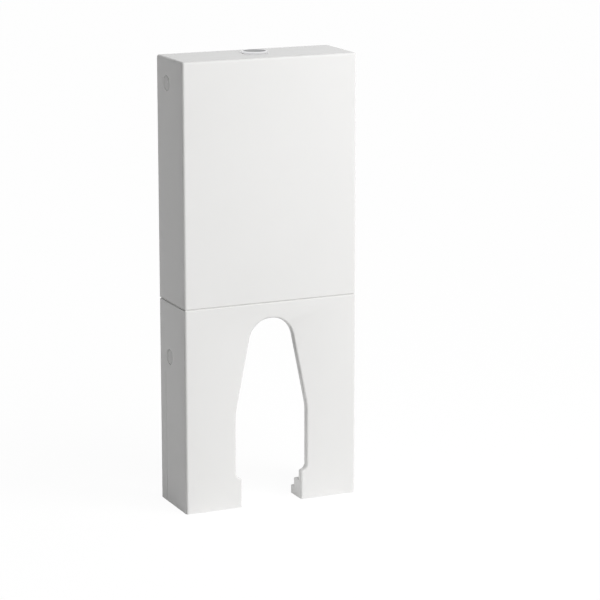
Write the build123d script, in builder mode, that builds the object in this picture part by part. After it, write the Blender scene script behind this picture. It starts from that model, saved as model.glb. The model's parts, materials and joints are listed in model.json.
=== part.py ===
from build123d import *
import math
import os

os.makedirs("parts", exist_ok=True)

# A floor-standing toilet cistern in two glazed casings, one above the other, on a steel wall frame.
# Lengths are in millimetres. +X is to the right as seen from the front, +Y points to the wall and
# +Z up. The origin is on the floor, in the middle of the casing's width and depth.

# Cuts run past the faces that they open by this much
overrun = 10.0

# Casing
casing_width = 400.0
casing_depth = 143.0
lower_casing_height = 448.0
upper_casing_height = 525.0
seam_gap = 2.0
ceramic_wall = 14.0
arris_radius = 5.5
seam_arris = 1.2
inner_corner_radius = 8.0

half_width = casing_width / 2
front_y = -casing_depth / 2
wall_y = casing_depth / 2
inner_half_width = half_width - ceramic_wall
inner_front_y = front_y + ceramic_wall
upper_base_z = lower_casing_height + seam_gap
casing_top_z = upper_base_z + upper_casing_height
inner_top_z = casing_top_z - ceramic_wall

# Soft strip in the seam
seal_inset = 3.0
seal_strip_width = 8.0

# Arch in the lower casing
arch_top_drop = 33.5
arch_cap_radius = 52.0
arch_half_width = 83.5
arch_bend_height = 200.0
arch_bend_radius = 100.0
arch_arris_radius = 4.5
foot_step = 13.5
foot_height = 60.0
foot_notch_radius = 14.0
foot_corner_radius = 5.5

foot_half_gap = arch_half_width - foot_step
arch_cap_z = lower_casing_height - arch_top_drop - arch_cap_radius

# Stepped ledge cast behind the front wall in each foot
ledge_reach = 25.0
ledge_height = 40.0
step_reach = 16.0
step_height = 19.0
ledge_edge_radius = 2.0

# Fine groove down each side of the lower casing
groove_wall_distance = 30.5
groove_width = 1.0
groove_depth = 0.8
groove_height = 292.0

# Cover caps, and the screws under them
cap_radius = 15.9
cap_clearance = 0.35
cap_recess_depth = 8.6
cap_face_thickness = 2.4
cap_skirt_thickness = 2.2
cap_edge = 1.5
cap_wall_distance = 53.5
upper_cap_drop = 54.0
lower_cap_drop = 119.0
screw_radius = 4.0
screw_clearance = 0.6
screw_head_radius = 6.6
screw_head_height = 4.2
screw_tail = 2.0
thread_clearance = 0.1

cap_y = wall_y - cap_wall_distance
upper_cap_z = casing_top_z - upper_cap_drop
lower_cap_z = lower_casing_height - lower_cap_drop
cap_seat_x = half_width - cap_recess_depth
cap_heights = (lower_cap_z, upper_cap_z)
cap_places = [(side, z) for side in (-1, 1) for z in cap_heights]

# Wall frame of folded sheet
pad_thickness = 3.0
pad_width = 26.0
sheet = 2.5
upright_depth = 22.0
back_flange_width = 30.0
front_flange_width = 17.0
upright_top_gap = 16.0
upright_bend_radius = 3.5
lug_width = 32.0
lug_reach = 16.0
foot_plate_thickness = 4.0
foot_plate_depth = 50.0
foot_hole_radius = 4.5
foot_hole_wall_distance = 36.0
wall_hole_radius = 4.5
wall_hole_edge = 7.0
wall_hole_low_drop = 88.0
wall_hole_high_drop = 75.0
lug_nut_radius = 7.5
lug_nut_height = 6.5
rail_end_gap = 5.0
rail_height = 40.0
rail_top_gap = 12.0
rail_fold = 18.0
rail_fold_end_gap = 3.0
shelf_rise = 34.0
shelf_leg_height = 44.0
shelf_front_gap = 19.5
shelf_lip = 15.0
shelf_pad_thickness = 4.0

web_x = inner_half_width - pad_thickness
flange_front_y = wall_y - upright_depth
frame_top_z = inner_top_z - upright_top_gap
foot_hole_x = web_x - back_flange_width / 2
foot_hole_y = wall_y - foot_hole_wall_distance
wall_hole_x = web_x - back_flange_width + wall_hole_edge
wall_hole_heights = (lower_casing_height - wall_hole_low_drop, casing_top_z - wall_hole_high_drop)
rail_half_width = web_x - rail_end_gap
rail_front_y = flange_front_y - sheet
rail_top_z = frame_top_z - rail_top_gap
shelf_top_z = upper_base_z + shelf_rise
shelf_leg_z = shelf_top_z - shelf_leg_height
shelf_front_y = inner_front_y + shelf_front_gap
rail_centre_z = rail_top_z - rail_height / 2
rail_fold_half_width = web_x - front_flange_width - rail_fold_end_gap

# Tank
tank_side_gap = 7.0
tank_front_gap = 13.5
tank_back_gap = 9.5
tank_top_gap = 13.0
tank_wall = 3.2
tank_corner_radius = 16.0
tank_edge = 4.0
tank_rib_count = 5
tank_rib_width = 10.0
tank_rib_height = 2.5
tank_rib_margin = 28.0
tank_rib_end_gap = 42.0
service_side_gap = 46.0
service_front_gap = 18.0
service_corner_radius = 12.0
lid_overlap = 6.0
lid_thickness = 3.0
lid_rim_depth = 8.0
lid_rim_thickness = 2.5
lid_clearance = 0.5
jacket_thickness = 6.0
jacket_gap = 0.5
jacket_margin = 4.0
jacket_back_gap = 4.0
shelf_pad_length = 30.0
shelf_pad_width = 20.0
shelf_pad_inset = 26.0
shelf_pad_edge = 5.5
clip_gap = 7.0
clip_width = 18.0
clip_thickness = 2.0
clip_foot = 24.0
clip_rise = 26.0

tank_base_z = shelf_top_z + shelf_pad_thickness
tank_floor_z = tank_base_z + tank_wall
tank_top_z = rail_top_z - rail_height - tank_top_gap
tank_height = tank_top_z - tank_base_z
tank_half_width = web_x - back_flange_width - tank_side_gap
tank_width = 2 * tank_half_width
tank_front_y = inner_front_y + tank_front_gap
tank_depth = wall_y - tank_back_gap - tank_front_y
tank_y = tank_front_y + tank_depth / 2
tank_rib_pitch = (tank_width - 2 * tank_rib_end_gap) / (tank_rib_count - 1)
service_width = tank_width - 2 * service_side_gap
service_depth = tank_depth - 2 * service_front_gap
clip_x = service_width / 2 + lid_overlap + clip_gap + clip_width / 2
shelf_pad_x = tank_half_width - shelf_pad_inset
shelf_pad_y = (shelf_front_y + rail_front_y) / 2
shelf_pad_spread_y = rail_front_y - shelf_front_y - shelf_pad_width - 2 * shelf_pad_edge

# Button in the casing's top
button_radius = 23.5
button_clearance = 0.4
button_split = 3.0
button_split_gap = 0.8
button_sink = 1.0
button_height = 12.0
button_crown = 3.2
button_skirt = 2.0
button_edge = 0.4
rod_boss_radius = 5.0
rod_boss_depth = 15.0
bezel_lip = 2.6
bezel_height = 4.3
bezel_edge = 1.4
sleeve_wall = 2.1
sleeve_depth = 35.0
sleeve_web = 3.0
sleeve_hole_clearance = 0.5
button_nut_lip = 7.0
button_nut_height = 10.0
button_nut_sides = 6

bezel_top_z = casing_top_z + bezel_height
button_top_z = bezel_top_z - button_sink
button_base_z = button_top_z - button_height
sleeve_bore_radius = button_radius + button_clearance
sleeve_radius = sleeve_bore_radius + sleeve_wall
bezel_radius = sleeve_radius + bezel_lip
button_nut_radius = sleeve_radius + button_nut_lip
sleeve_base_z = casing_top_z - sleeve_depth
sleeve_web_top_z = sleeve_base_z + sleeve_web

# Push rods and levers, on the flush valve's axis below the button
rod_width = 5.2
rod_tip_chamfer = 1.8
rod_clearance = 0.4
rod_seat_clearance = 0.05
rod_offset_x = 7.0
rod_offset_y = 13.0
rod_tip_gap = 0.5
lever_end_gap = 5.6
lever_thickness = 6.0
lever_hub_radius = 5.0
lever_hub_gap = 1.0
lever_pin_radius = 2.0
lever_pin_clearance = 0.05
lever_pin_head_radius = 3.5
lever_pin_head = 2.0
lever_pin_tail = 2.0
lever_pin_drop = 55.0
cheek_thickness = 3.0
cheek_width = 20.0
cheek_chamfer = 5.0
cheek_crown = 7.0
head_collar_height = 12.0

lever_pin_z = tank_top_z - lever_pin_drop
rod_tip_z = lever_pin_z + lever_thickness / 2 + rod_tip_gap
rod_boss_z = button_top_z - rod_boss_depth

# Flush valve, set back from the tank's middle by a share of the free space round it, with the button
# above it on one axis
spigot_radius = 23.4
valve_setback_share = 6.0 / 15.8
spigot_wall = 3.9
spigot_thread_depth = 0.5
spigot_drop = 60.0
outlet_clearance = 0.5
gasket_thickness = 3.0
valve_flange_lip = 10.6
valve_flange_thickness = 4.0
valve_skirt = 2.4
valve_skirt_height = 10.0
seat_lip_width = 2.2
seat_height = 6.0
outlet_nut_lip = 7.1
nut_tail = 2.0
outlet_nut_height = 12.0
outlet_nut_sides = 8
outlet_hole_clearance = 0.8
seal_gap = 5.6
seal_thickness = 3.0
spindle_radius = 12.0
spindle_bore_radius = 10.0
spindle_guide_clearance = 0.6
spindle_foot_gap = 4.0
spindle_foot_thickness = 3.0
spindle_top_drop = 30.0
hook_arm_thickness = 6.0
hook_post = 3.0
hook_ledge = 3.0
hook_gap = 0.5
hook_tip_clearance = 2.0
hook_width = 7.0
cage_height = 112.0
cage_top_thickness = 3.0
cage_window_count = 4
cage_window_width = 30.0
cage_window_height = 46.0
cage_window_rise = 6.0
column_pin_drop = 54.8
cage_column_wall = 2.4
half_float_gap = 2.6
half_float_height = 34.0
half_float_rise = 42.0
half_float_overlap = 2.0
half_float_clearance = 0.8
half_rod_width = 5.0
half_rod_clearance = 0.5

spigot_thread_radius = spigot_radius + spigot_thread_depth
spigot_bore_radius = spigot_radius - spigot_wall
valve_flange_radius = spigot_radius + valve_flange_lip
outlet_nut_radius = spigot_thread_radius + outlet_nut_lip
valve_free_reach = tank_depth / 2 - tank_wall - valve_flange_radius
button_y = tank_y + valve_setback_share * valve_free_reach
gasket_top_z = tank_floor_z + gasket_thickness
valve_flange_z = gasket_top_z + valve_flange_thickness
seat_z = valve_flange_z + seat_height
spigot_end_z = tank_base_z - spigot_drop
spigot_tail_z = tank_base_z - outlet_nut_height - nut_tail
skirt_top_z = valve_flange_z + valve_skirt_height
skirt_bore_radius = valve_flange_radius - valve_skirt
seal_radius = skirt_bore_radius - seal_gap
spindle_foot_radius = seal_radius - spindle_foot_gap
half_float_radius = skirt_bore_radius - half_float_gap
lever_reach = skirt_bore_radius - lever_end_gap
cage_top_z = skirt_top_z + cage_height
column_top_z = lever_pin_z - column_pin_drop
column_bore_radius = spindle_radius + spindle_guide_clearance
column_radius = column_bore_radius + cage_column_wall
cheek_x = column_radius
pin_end_x = cheek_x + cheek_thickness
spindle_top_z = lever_pin_z - spindle_top_drop
lever_tip = lever_reach + lever_thickness / 2
lever_pad = rod_offset_y + lever_thickness / 2
hook_ledge_z = lever_pin_z + lever_thickness / 2 + hook_gap
hook_post_reach = lever_tip + hook_tip_clearance
half_float_z = skirt_top_z + half_float_rise

# Fill valve
fill_tail_radius = 8.33
fill_thread_step = 0.87
fill_shank_drop = 44.0
fill_hole_clearance = 0.4
fill_flange_radius = 14.0
fill_flange_thickness = 4.0
fill_nut_radius = 15.0
fill_nut_height = 8.0
fill_riser_radius = 9.0
fill_bore_radius = 4.0
fill_head_radius = 17.0
fill_head_height = 30.0
fill_head_drop = 90.0
fill_cap_height = 8.0
fill_shelf_clearance = 6.0
fill_ear_height = 15.0
fill_ear_length = 9.0
fill_ear_thickness = 2.5
fill_ear_chamfer = 2.5
fill_ear_gap = 6.8
float_travel = 15.0
float_length = 66.0
float_side_gap = 16.0
float_height = 70.0
float_corner_radius = 10.0
float_drop = 34.0
float_wall = 2.0
float_clearance = 0.8
float_arm_inset = 12.0
float_rod_inset = 7.0
float_arm_width = 6.0
float_arm_thickness = 4.0
float_pin_radius = 1.5
float_rod_width = 4.0
float_slot_width = 5.0
float_slot_length = 8.0
float_collar_width = 8.4
float_collar_height = 2.5
float_collar_play = 1.4
float_rod_tail = 3.0
float_pin_tail = 0.8
float_hub_radius = 4.0
float_eye_wall = 2.2
spout_wall = 1.5
spout_height = 13.0
spout_rise = 8.0
outlet_tube_radius = 5.0
outlet_tube_bore_radius = 3.8
outlet_tube_gap = 8.0
outlet_tube_wall_gap = 7.3
outlet_tube_end_gap = 30.0

outlet_tube_offset = float_length / 2 + outlet_tube_gap
outlet_tube_x = -tank_half_width + tank_wall + outlet_tube_wall_gap + outlet_tube_radius + spout_wall
fill_x = outlet_tube_x + outlet_tube_offset
fill_y = tank_y
fill_shank_radius = fill_tail_radius + fill_thread_step
fill_end_z = tank_base_z - fill_shank_drop
fill_tail_z = tank_base_z - fill_nut_height - nut_tail
fill_head_z = tank_top_z - fill_head_drop
fill_cap_z = fill_head_z + fill_head_height
fill_seat_z = gasket_top_z + fill_flange_thickness
spout_z = fill_head_z + spout_rise
float_pin_x = fill_x - float_arm_inset
float_pin_z = fill_cap_z + fill_cap_height + fill_ear_height - fill_ear_length / 2
float_depth = tank_depth - 2 * float_side_gap
float_arm_reach = float_length / 2 + float_arm_inset - float_rod_inset
float_swing = float_travel / float_arm_reach
float_rest_angle = -float_swing / 2
float_rod_x = float_pin_x + float_arm_reach * math.cos(float_rest_angle)
float_arm_end_z = float_pin_z + float_arm_reach * math.sin(float_rest_angle)
float_top_z = fill_head_z - float_drop
float_base_z = float_top_z - float_height
collar_base_z = float_arm_end_z - float_arm_thickness / 2 - float_collar_play
collar_top_z = float_arm_end_z + float_arm_thickness / 2 + float_collar_play + float_collar_height
pin_half_length = fill_ear_gap / 2 + fill_ear_thickness + float_pin_tail

# Springs under the button
spring_radius = 5.2
spring_wire_radius = 0.5
spring_seat_gap = 0.3

spring_base_z = sleeve_web_top_z + spring_seat_gap
spring_top_z = rod_boss_z - spring_seat_gap


# Upper casing: front, sides and top in one shell, open behind and below
with BuildPart() as upper_casing:
    with BuildSketch(Plane.XY.offset(upper_base_z)):
        Rectangle(casing_width, casing_depth)
    extrude(amount=upper_casing_height)
    fillet(upper_casing.edges().filter_by(Axis.Z).group_by(Axis.Y)[0], radius=arris_radius)
    fillet(upper_casing.faces().sort_by(Axis.Z)[-1].edges().sort_by(Axis.Y)[:-1], radius=arris_radius)
    chamfer(upper_casing.faces().sort_by(Axis.Z)[0].edges().sort_by(Axis.Y)[:-1], length=seam_arris)
    with BuildSketch(Plane.XY.offset(upper_base_z - overrun)) as upper_hollow:
        with Locations((0, inner_front_y)):
            Rectangle(2 * inner_half_width, casing_depth, align=(Align.CENTER, Align.MIN))
        fillet(upper_hollow.vertices().group_by(Axis.Y)[0], radius=inner_corner_radius)
    extrude(amount=inner_top_z - upper_base_z + overrun, mode=Mode.SUBTRACT)
    with BuildSketch(Plane.XY.offset(inner_top_z - overrun)):
        with Locations((0, button_y)):
            Circle(sleeve_radius + sleeve_hole_clearance)
    extrude(amount=ceramic_wall + 2 * overrun, mode=Mode.SUBTRACT)
    for side in (-1, 1):
        with BuildSketch(Plane.YZ.offset(side * cap_seat_x)):
            with Locations((cap_y, upper_cap_z)):
                Circle(cap_radius + cap_clearance)
        extrude(amount=side * (cap_recess_depth + overrun), mode=Mode.SUBTRACT)
        with BuildSketch(Plane.YZ.offset(side * (inner_half_width - overrun))):
            with Locations((cap_y, upper_cap_z)):
                Circle(screw_radius + screw_clearance)
        extrude(amount=side * (ceramic_wall + overrun), mode=Mode.SUBTRACT)
upper_casing.part.label = "upper_casing"
export_step(upper_casing.part, "parts/upper_casing.step")

# Lower casing: an apron with an arch for the pan's pipes, and a stepped ledge cast in each foot
notch_turn = math.acos(
    1 - foot_step / (foot_notch_radius + foot_corner_radius)
)
notch_top_z = foot_height + (foot_notch_radius + foot_corner_radius) * math.sin(notch_turn)
lean_run = arch_half_width - arch_bend_radius
lean_rise = arch_cap_z - arch_bend_height
lean_offset = arch_cap_radius - arch_bend_radius
lean = math.acos(lean_offset / math.hypot(lean_run, lean_rise)) - math.atan2(lean_rise, lean_run)

with BuildPart() as lower_casing:
    with BuildSketch(Plane.XY):
        Rectangle(casing_width, casing_depth)
    extrude(amount=lower_casing_height)
    fillet(lower_casing.edges().filter_by(Axis.Z).group_by(Axis.Y)[0], radius=arris_radius)
    chamfer(lower_casing.faces().sort_by(Axis.Z)[-1].edges().sort_by(Axis.Y)[:-1], length=seam_arris)
    with BuildSketch(Plane.XY.offset(-overrun)) as lower_hollow:
        with Locations((0, inner_front_y)):
            Rectangle(2 * inner_half_width, casing_depth, align=(Align.CENTER, Align.MIN))
        fillet(lower_hollow.vertices().group_by(Axis.Y)[0], radius=inner_corner_radius)
    extrude(amount=lower_casing_height + 2 * overrun, mode=Mode.SUBTRACT)
    for side in (-1, 1):
        with BuildSketch(Plane.YZ.offset(side * foot_half_gap)):
            with Locations((inner_front_y - ceramic_wall / 2, 0)):
                Rectangle(ceramic_wall / 2 + ledge_reach, ledge_height, align=(Align.MIN, Align.MIN))
                Rectangle(
                    ceramic_wall / 2 + ledge_reach + step_reach, step_height, align=(Align.MIN, Align.MIN)
                )
        extrude(amount=side * (inner_half_width - foot_half_gap + ceramic_wall / 2))
    ledge_edges = lower_casing.edges().filter_by(Axis.X).filter_by_position(
        Axis.Y, inner_front_y + ledge_reach / 2, wall_y
    )
    fillet(ledge_edges.filter_by_position(Axis.Z, ledge_height, ledge_height), radius=ledge_edge_radius)
    step_edges = lower_casing.edges().filter_by(Axis.X).filter_by_position(
        Axis.Y, inner_front_y + ledge_reach + step_reach / 2, wall_y
    )
    fillet(step_edges.filter_by_position(Axis.Z, step_height, step_height), radius=ledge_edge_radius)
    with BuildSketch(Plane.XZ.offset(-inner_front_y - overrun)):
        with BuildLine():
            Line((foot_half_gap, -overrun), (foot_half_gap, foot_height))
            CenterArc(
                (foot_half_gap + foot_corner_radius, foot_height),
                foot_corner_radius,
                180,
                -math.degrees(notch_turn),
            )
            CenterArc(
                (arch_half_width - foot_notch_radius, notch_top_z),
                foot_notch_radius,
                -math.degrees(notch_turn),
                math.degrees(notch_turn),
            )
            Line((arch_half_width, notch_top_z), (arch_half_width, arch_bend_height))
            bend = CenterArc((lean_run, arch_bend_height), arch_bend_radius, 0, math.degrees(lean))
            cap_arc = CenterArc(
                (0, arch_cap_z), arch_cap_radius, math.degrees(lean), 90 - math.degrees(lean)
            )
            Line(bend @ 1, cap_arc @ 0)
            mirror(about=Plane.YZ)
            Line((-foot_half_gap, -overrun), (foot_half_gap, -overrun))
        make_face()
    extrude(amount=ceramic_wall + 2 * overrun, mode=Mode.SUBTRACT)
    arch_edges = lower_casing.edges().filter_by_position(Axis.Y, front_y, front_y)
    arch_edges = arch_edges.filter_by_position(Axis.X, -arch_half_width, arch_half_width)
    fillet(arch_edges.filter_by_position(Axis.Z, 0, arch_cap_z + arch_cap_radius, (False, True)),
           radius=arch_arris_radius)
    for side in (-1, 1):
        with BuildSketch(Plane.YZ.offset(side * cap_seat_x)):
            with Locations((cap_y, lower_cap_z)):
                Circle(cap_radius + cap_clearance)
        extrude(amount=side * (cap_recess_depth + overrun), mode=Mode.SUBTRACT)
        with BuildSketch(Plane.YZ.offset(side * (inner_half_width - overrun))):
            with Locations((cap_y, lower_cap_z)):
                Circle(screw_radius + screw_clearance)
        extrude(amount=side * (ceramic_wall + overrun), mode=Mode.SUBTRACT)
        with BuildSketch(Plane.YZ.offset(side * (half_width - groove_depth))):
            with Locations((wall_y - groove_wall_distance, -overrun)):
                Rectangle(groove_width, groove_height + overrun, align=(Align.CENTER, Align.MIN))
        extrude(amount=side * (groove_depth + overrun), mode=Mode.SUBTRACT)
lower_casing.part.label = "lower_casing"
export_step(lower_casing.part, "parts/lower_casing.step")

# Cover caps: flat plugs with a broad edge, each with a skirt that stands on the floor of its recess
for side, side_name in ((-1, "left"), (1, "right")):
    with BuildPart() as side_caps:
        for cap_z in cap_heights:
            with BuildSketch(Plane.XZ.offset(-cap_y)):
                with BuildLine():
                    Polyline(
                        (side * half_width, cap_z),
                        (side * (half_width - cap_face_thickness), cap_z),
                        (side * (half_width - cap_face_thickness), cap_z + cap_radius - cap_skirt_thickness),
                        (side * cap_seat_x, cap_z + cap_radius - cap_skirt_thickness),
                        (side * cap_seat_x, cap_z + cap_radius),
                        (side * (half_width - cap_edge), cap_z + cap_radius),
                        (side * half_width, cap_z + cap_radius - cap_edge),
                        close=True,
                    )
                make_face()
            revolve(axis=Axis((0, cap_y, cap_z), (1, 0, 0)))
    side_caps.part.label = f"{side_name}_caps"
    export_step(side_caps.part, f"parts/{side_name}_caps.step")

# Hexagon-headed screws under the caps, through the casings' sides into the frame's lugs
with BuildPart() as casing_screws:
    for side, cap_z in cap_places:
        with BuildSketch(Plane.YZ.offset(side * cap_seat_x)):
            with Locations((cap_y, cap_z)):
                RegularPolygon(screw_head_radius, 6)
        extrude(amount=side * screw_head_height)
        with BuildSketch(Plane.YZ.offset(side * cap_seat_x)):
            with Locations((cap_y, cap_z)):
                Circle(screw_radius)
        extrude(amount=-side * (cap_seat_x - web_x + sheet + lug_nut_height + screw_tail))
casing_screws.part.label = "casing_screws"
export_step(casing_screws.part, "parts/casing_screws.step")

# Pads between the casings' sides and the lugs of the frame
with BuildPart() as casing_pads:
    for side, cap_z in cap_places:
        with BuildSketch(Plane.YZ.offset(side * web_x)):
            with Locations((cap_y, cap_z)):
                Rectangle(pad_width, pad_width)
                Circle(screw_radius + screw_clearance, mode=Mode.SUBTRACT)
        extrude(amount=side * pad_thickness)
casing_pads.part.label = "casing_pads"
export_step(casing_pads.part, "parts/casing_pads.step")

# Soft strip between the casings, set back from their faces, which leaves the dark line of the seam
with BuildPart() as seam_seal:
    with BuildSketch(Plane.XY.offset(lower_casing_height)):
        with Locations((0, front_y + seal_inset)):
            Rectangle(
                casing_width - 2 * seal_inset, casing_depth - seal_inset, align=(Align.CENTER, Align.MIN)
            )
        with Locations((0, front_y + seal_inset + seal_strip_width)):
            Rectangle(
                casing_width - 2 * (seal_inset + seal_strip_width),
                casing_depth,
                align=(Align.CENTER, Align.MIN),
                mode=Mode.SUBTRACT,
            )
    extrude(amount=seam_gap)
seam_seal.part.label = "seam_seal"
export_step(seam_seal.part, "parts/seam_seal.step")

# Uprights: folded channels that open towards each other, each with a foot, and with a lug and a weld nut
# for each casing screw
for side, side_name in ((-1, "left"), (1, "right")):
    with BuildPart() as upright:
        with BuildSketch(Plane.XY) as channel:
            with BuildLine():
                Polyline(
                    (side * (web_x - back_flange_width), wall_y),
                    (side * web_x, wall_y),
                    (side * web_x, flange_front_y),
                    (side * (web_x - front_flange_width), flange_front_y),
                    (side * (web_x - front_flange_width), flange_front_y + sheet),
                    (side * (web_x - sheet), flange_front_y + sheet),
                    (side * (web_x - sheet), wall_y - sheet),
                    (side * (web_x - back_flange_width), wall_y - sheet),
                    close=True,
                )
            make_face()
            fillet(
                channel.vertices().filter_by_position(Axis.X, side * web_x, side * web_x),
                radius=upright_bend_radius,
            )
        extrude(amount=frame_top_z)
        with BuildSketch(Plane.XY):
            with Locations((side * foot_hole_x, wall_y)):
                Rectangle(back_flange_width, foot_plate_depth, align=(Align.CENTER, Align.MAX))
        extrude(amount=foot_plate_thickness)
        with BuildSketch(Plane.YZ.offset(side * web_x)):
            for cap_z in cap_heights:
                with Locations((cap_y - lug_reach, cap_z)):
                    Rectangle(
                        flange_front_y + upright_depth / 2 - cap_y + lug_reach,
                        lug_width,
                        align=(Align.MIN, Align.CENTER),
                    )
        extrude(amount=-side * sheet)
        with BuildSketch(Plane.YZ.offset(side * (web_x - sheet))):
            for cap_z in cap_heights:
                with Locations((cap_y, cap_z)):
                    RegularPolygon(lug_nut_radius, 6)
        extrude(amount=-side * lug_nut_height)
        with BuildSketch(Plane.YZ.offset(side * (web_x + overrun))):
            for cap_z in cap_heights:
                with Locations((cap_y, cap_z)):
                    Circle(screw_radius + thread_clearance)
        extrude(amount=-side * (sheet + lug_nut_height + 2 * overrun), mode=Mode.SUBTRACT)
        with BuildSketch(Plane.XZ.offset(-wall_y - overrun)):
            for hole_z in wall_hole_heights:
                with Locations((side * wall_hole_x, hole_z)):
                    Circle(wall_hole_radius)
        extrude(amount=sheet + overrun + upright_depth / 4, mode=Mode.SUBTRACT)
        with BuildSketch(Plane.XY.offset(-overrun)):
            with Locations((side * foot_hole_x, foot_hole_y)):
                Circle(foot_hole_radius)
        extrude(amount=foot_plate_thickness + 2 * overrun, mode=Mode.SUBTRACT)
    upright.part.label = f"{side_name}_upright"
    export_step(upright.part, f"parts/{side_name}_upright.step")

# Top rail: a flat bar, welded across the uprights, with its upper edge folded back between them
with BuildPart() as top_rail:
    with BuildSketch(Plane.XZ.offset(-rail_front_y)):
        with Locations((0, rail_top_z)):
            Rectangle(2 * rail_half_width, rail_height, align=(Align.CENTER, Align.MAX))
    extrude(amount=-sheet)
    with BuildSketch(Plane.XY.offset(rail_top_z - sheet)):
        with Locations((0, rail_front_y)):
            Rectangle(2 * rail_fold_half_width, rail_fold, align=(Align.CENTER, Align.MIN))
    extrude(amount=sheet)
top_rail.part.label = "top_rail"
export_step(top_rail.part, "parts/top_rail.step")

# Tank shelf: a folded tray, welded across the uprights, with holes for the flush outlet and the fill
# valve's shank
with BuildPart() as tank_shelf:
    with BuildSketch(Plane.YZ.offset(-rail_half_width)):
        with BuildLine():
            Polyline(
                (flange_front_y, shelf_top_z),
                (flange_front_y, shelf_leg_z),
                (rail_front_y, shelf_leg_z),
                (rail_front_y, shelf_top_z - sheet),
                (shelf_front_y + sheet, shelf_top_z - sheet),
                (shelf_front_y + sheet, shelf_top_z - shelf_lip),
                (shelf_front_y, shelf_top_z - shelf_lip),
                (shelf_front_y, shelf_top_z),
                close=True,
            )
        make_face()
    extrude(amount=2 * rail_half_width)
    with BuildSketch(Plane.XY.offset(shelf_top_z + overrun)):
        with Locations((0, button_y)):
            Circle(outlet_nut_radius + outlet_hole_clearance)
        with Locations((fill_x, fill_y)):
            Circle(fill_nut_radius + fill_shelf_clearance)
    extrude(amount=-(sheet + 2 * overrun), mode=Mode.SUBTRACT)
tank_shelf.part.label = "tank_shelf"
export_step(tank_shelf.part, "parts/tank_shelf.step")

# Rubber pads under the tank's corners
with BuildPart() as shelf_pads:
    with BuildSketch(Plane.XY.offset(shelf_top_z)):
        with Locations((0, shelf_pad_y)):
            with GridLocations(2 * shelf_pad_x, shelf_pad_spread_y, 2, 2):
                Rectangle(shelf_pad_length, shelf_pad_width)
    extrude(amount=shelf_pad_thickness)
shelf_pads.part.label = "shelf_pads"
export_step(shelf_pads.part, "parts/shelf_pads.step")

# Tank: a moulded box with ribs on its broad faces and a service opening in its top
with BuildPart() as tank_body:
    with BuildSketch(Plane.XY.offset(tank_base_z)):
        with Locations((0, tank_y)):
            RectangleRounded(tank_width, tank_depth, tank_corner_radius)
    extrude(amount=tank_height)
    chamfer(tank_body.faces().sort_by(Axis.Z)[0].edges(), length=tank_edge)
    chamfer(tank_body.faces().sort_by(Axis.Z)[-1].edges(), length=tank_edge)
    with BuildSketch(Plane.XZ.offset(-tank_front_y - tank_wall / 2)):
        with Locations((0, tank_base_z + tank_rib_margin)):
            with GridLocations(tank_rib_pitch, 0, tank_rib_count, 1):
                Rectangle(
                    tank_rib_width, tank_height - 2 * tank_rib_margin, align=(Align.CENTER, Align.MIN)
                )
    extrude(amount=tank_wall / 2 + tank_rib_height)
    with BuildSketch(Plane.XZ.offset(-tank_front_y - tank_depth + tank_wall / 2)):
        with Locations((0, tank_base_z + tank_rib_margin)):
            with GridLocations(tank_rib_pitch, 0, tank_rib_count, 1):
                Rectangle(
                    tank_rib_width, tank_height - 2 * tank_rib_margin, align=(Align.CENTER, Align.MIN)
                )
    extrude(amount=-(tank_wall / 2 + tank_rib_height))
    with BuildSketch(Plane.XY.offset(tank_floor_z)):
        with Locations((0, tank_y)):
            RectangleRounded(
                tank_width - 2 * tank_wall, tank_depth - 2 * tank_wall, tank_corner_radius - tank_wall
            )
    extrude(amount=tank_height - 2 * tank_wall, mode=Mode.SUBTRACT)
    with BuildSketch(Plane.XY.offset(tank_top_z + overrun)):
        with Locations((0, tank_y)):
            RectangleRounded(service_width, service_depth, service_corner_radius)
    extrude(amount=-(tank_wall + 2 * overrun), mode=Mode.SUBTRACT)
    with BuildSketch(Plane.XY.offset(tank_base_z - overrun)):
        with Locations((0, button_y)):
            Circle(spigot_thread_radius + outlet_clearance)
        with Locations((fill_x, fill_y)):
            Circle(fill_shank_radius + fill_hole_clearance)
    extrude(amount=tank_wall + 2 * overrun, mode=Mode.SUBTRACT)
tank_body.part.label = "tank_body"
export_step(tank_body.part, "parts/tank_body.step")

# Lid of the service opening, with a rim below and a hole for each push rod
rod_places = [
    (-rod_offset_x, button_y - rod_offset_y),
    (rod_offset_x, button_y + rod_offset_y),
]
with BuildPart() as tank_lid:
    with BuildSketch(Plane.XY.offset(tank_top_z)):
        with Locations((0, tank_y)):
            RectangleRounded(
                service_width + 2 * lid_overlap,
                service_depth + 2 * lid_overlap,
                service_corner_radius + lid_overlap,
            )
    extrude(amount=lid_thickness)
    with BuildSketch(Plane.XY.offset(tank_top_z)):
        with Locations((0, tank_y)):
            RectangleRounded(
                service_width - 2 * lid_clearance,
                service_depth - 2 * lid_clearance,
                service_corner_radius - lid_clearance,
            )
            RectangleRounded(
                service_width - 2 * (lid_clearance + lid_rim_thickness),
                service_depth - 2 * (lid_clearance + lid_rim_thickness),
                service_corner_radius - lid_clearance - lid_rim_thickness,
                mode=Mode.SUBTRACT,
            )
    extrude(amount=-lid_rim_depth)
    with BuildSketch(Plane.XY.offset(tank_top_z - overrun)):
        with Locations(*rod_places):
            Rectangle(rod_width + 2 * rod_clearance, rod_width + 2 * rod_clearance)
    extrude(amount=lid_thickness + 2 * overrun, mode=Mode.SUBTRACT)
tank_lid.part.label = "tank_lid"
export_step(tank_lid.part, "parts/tank_lid.step")

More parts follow.
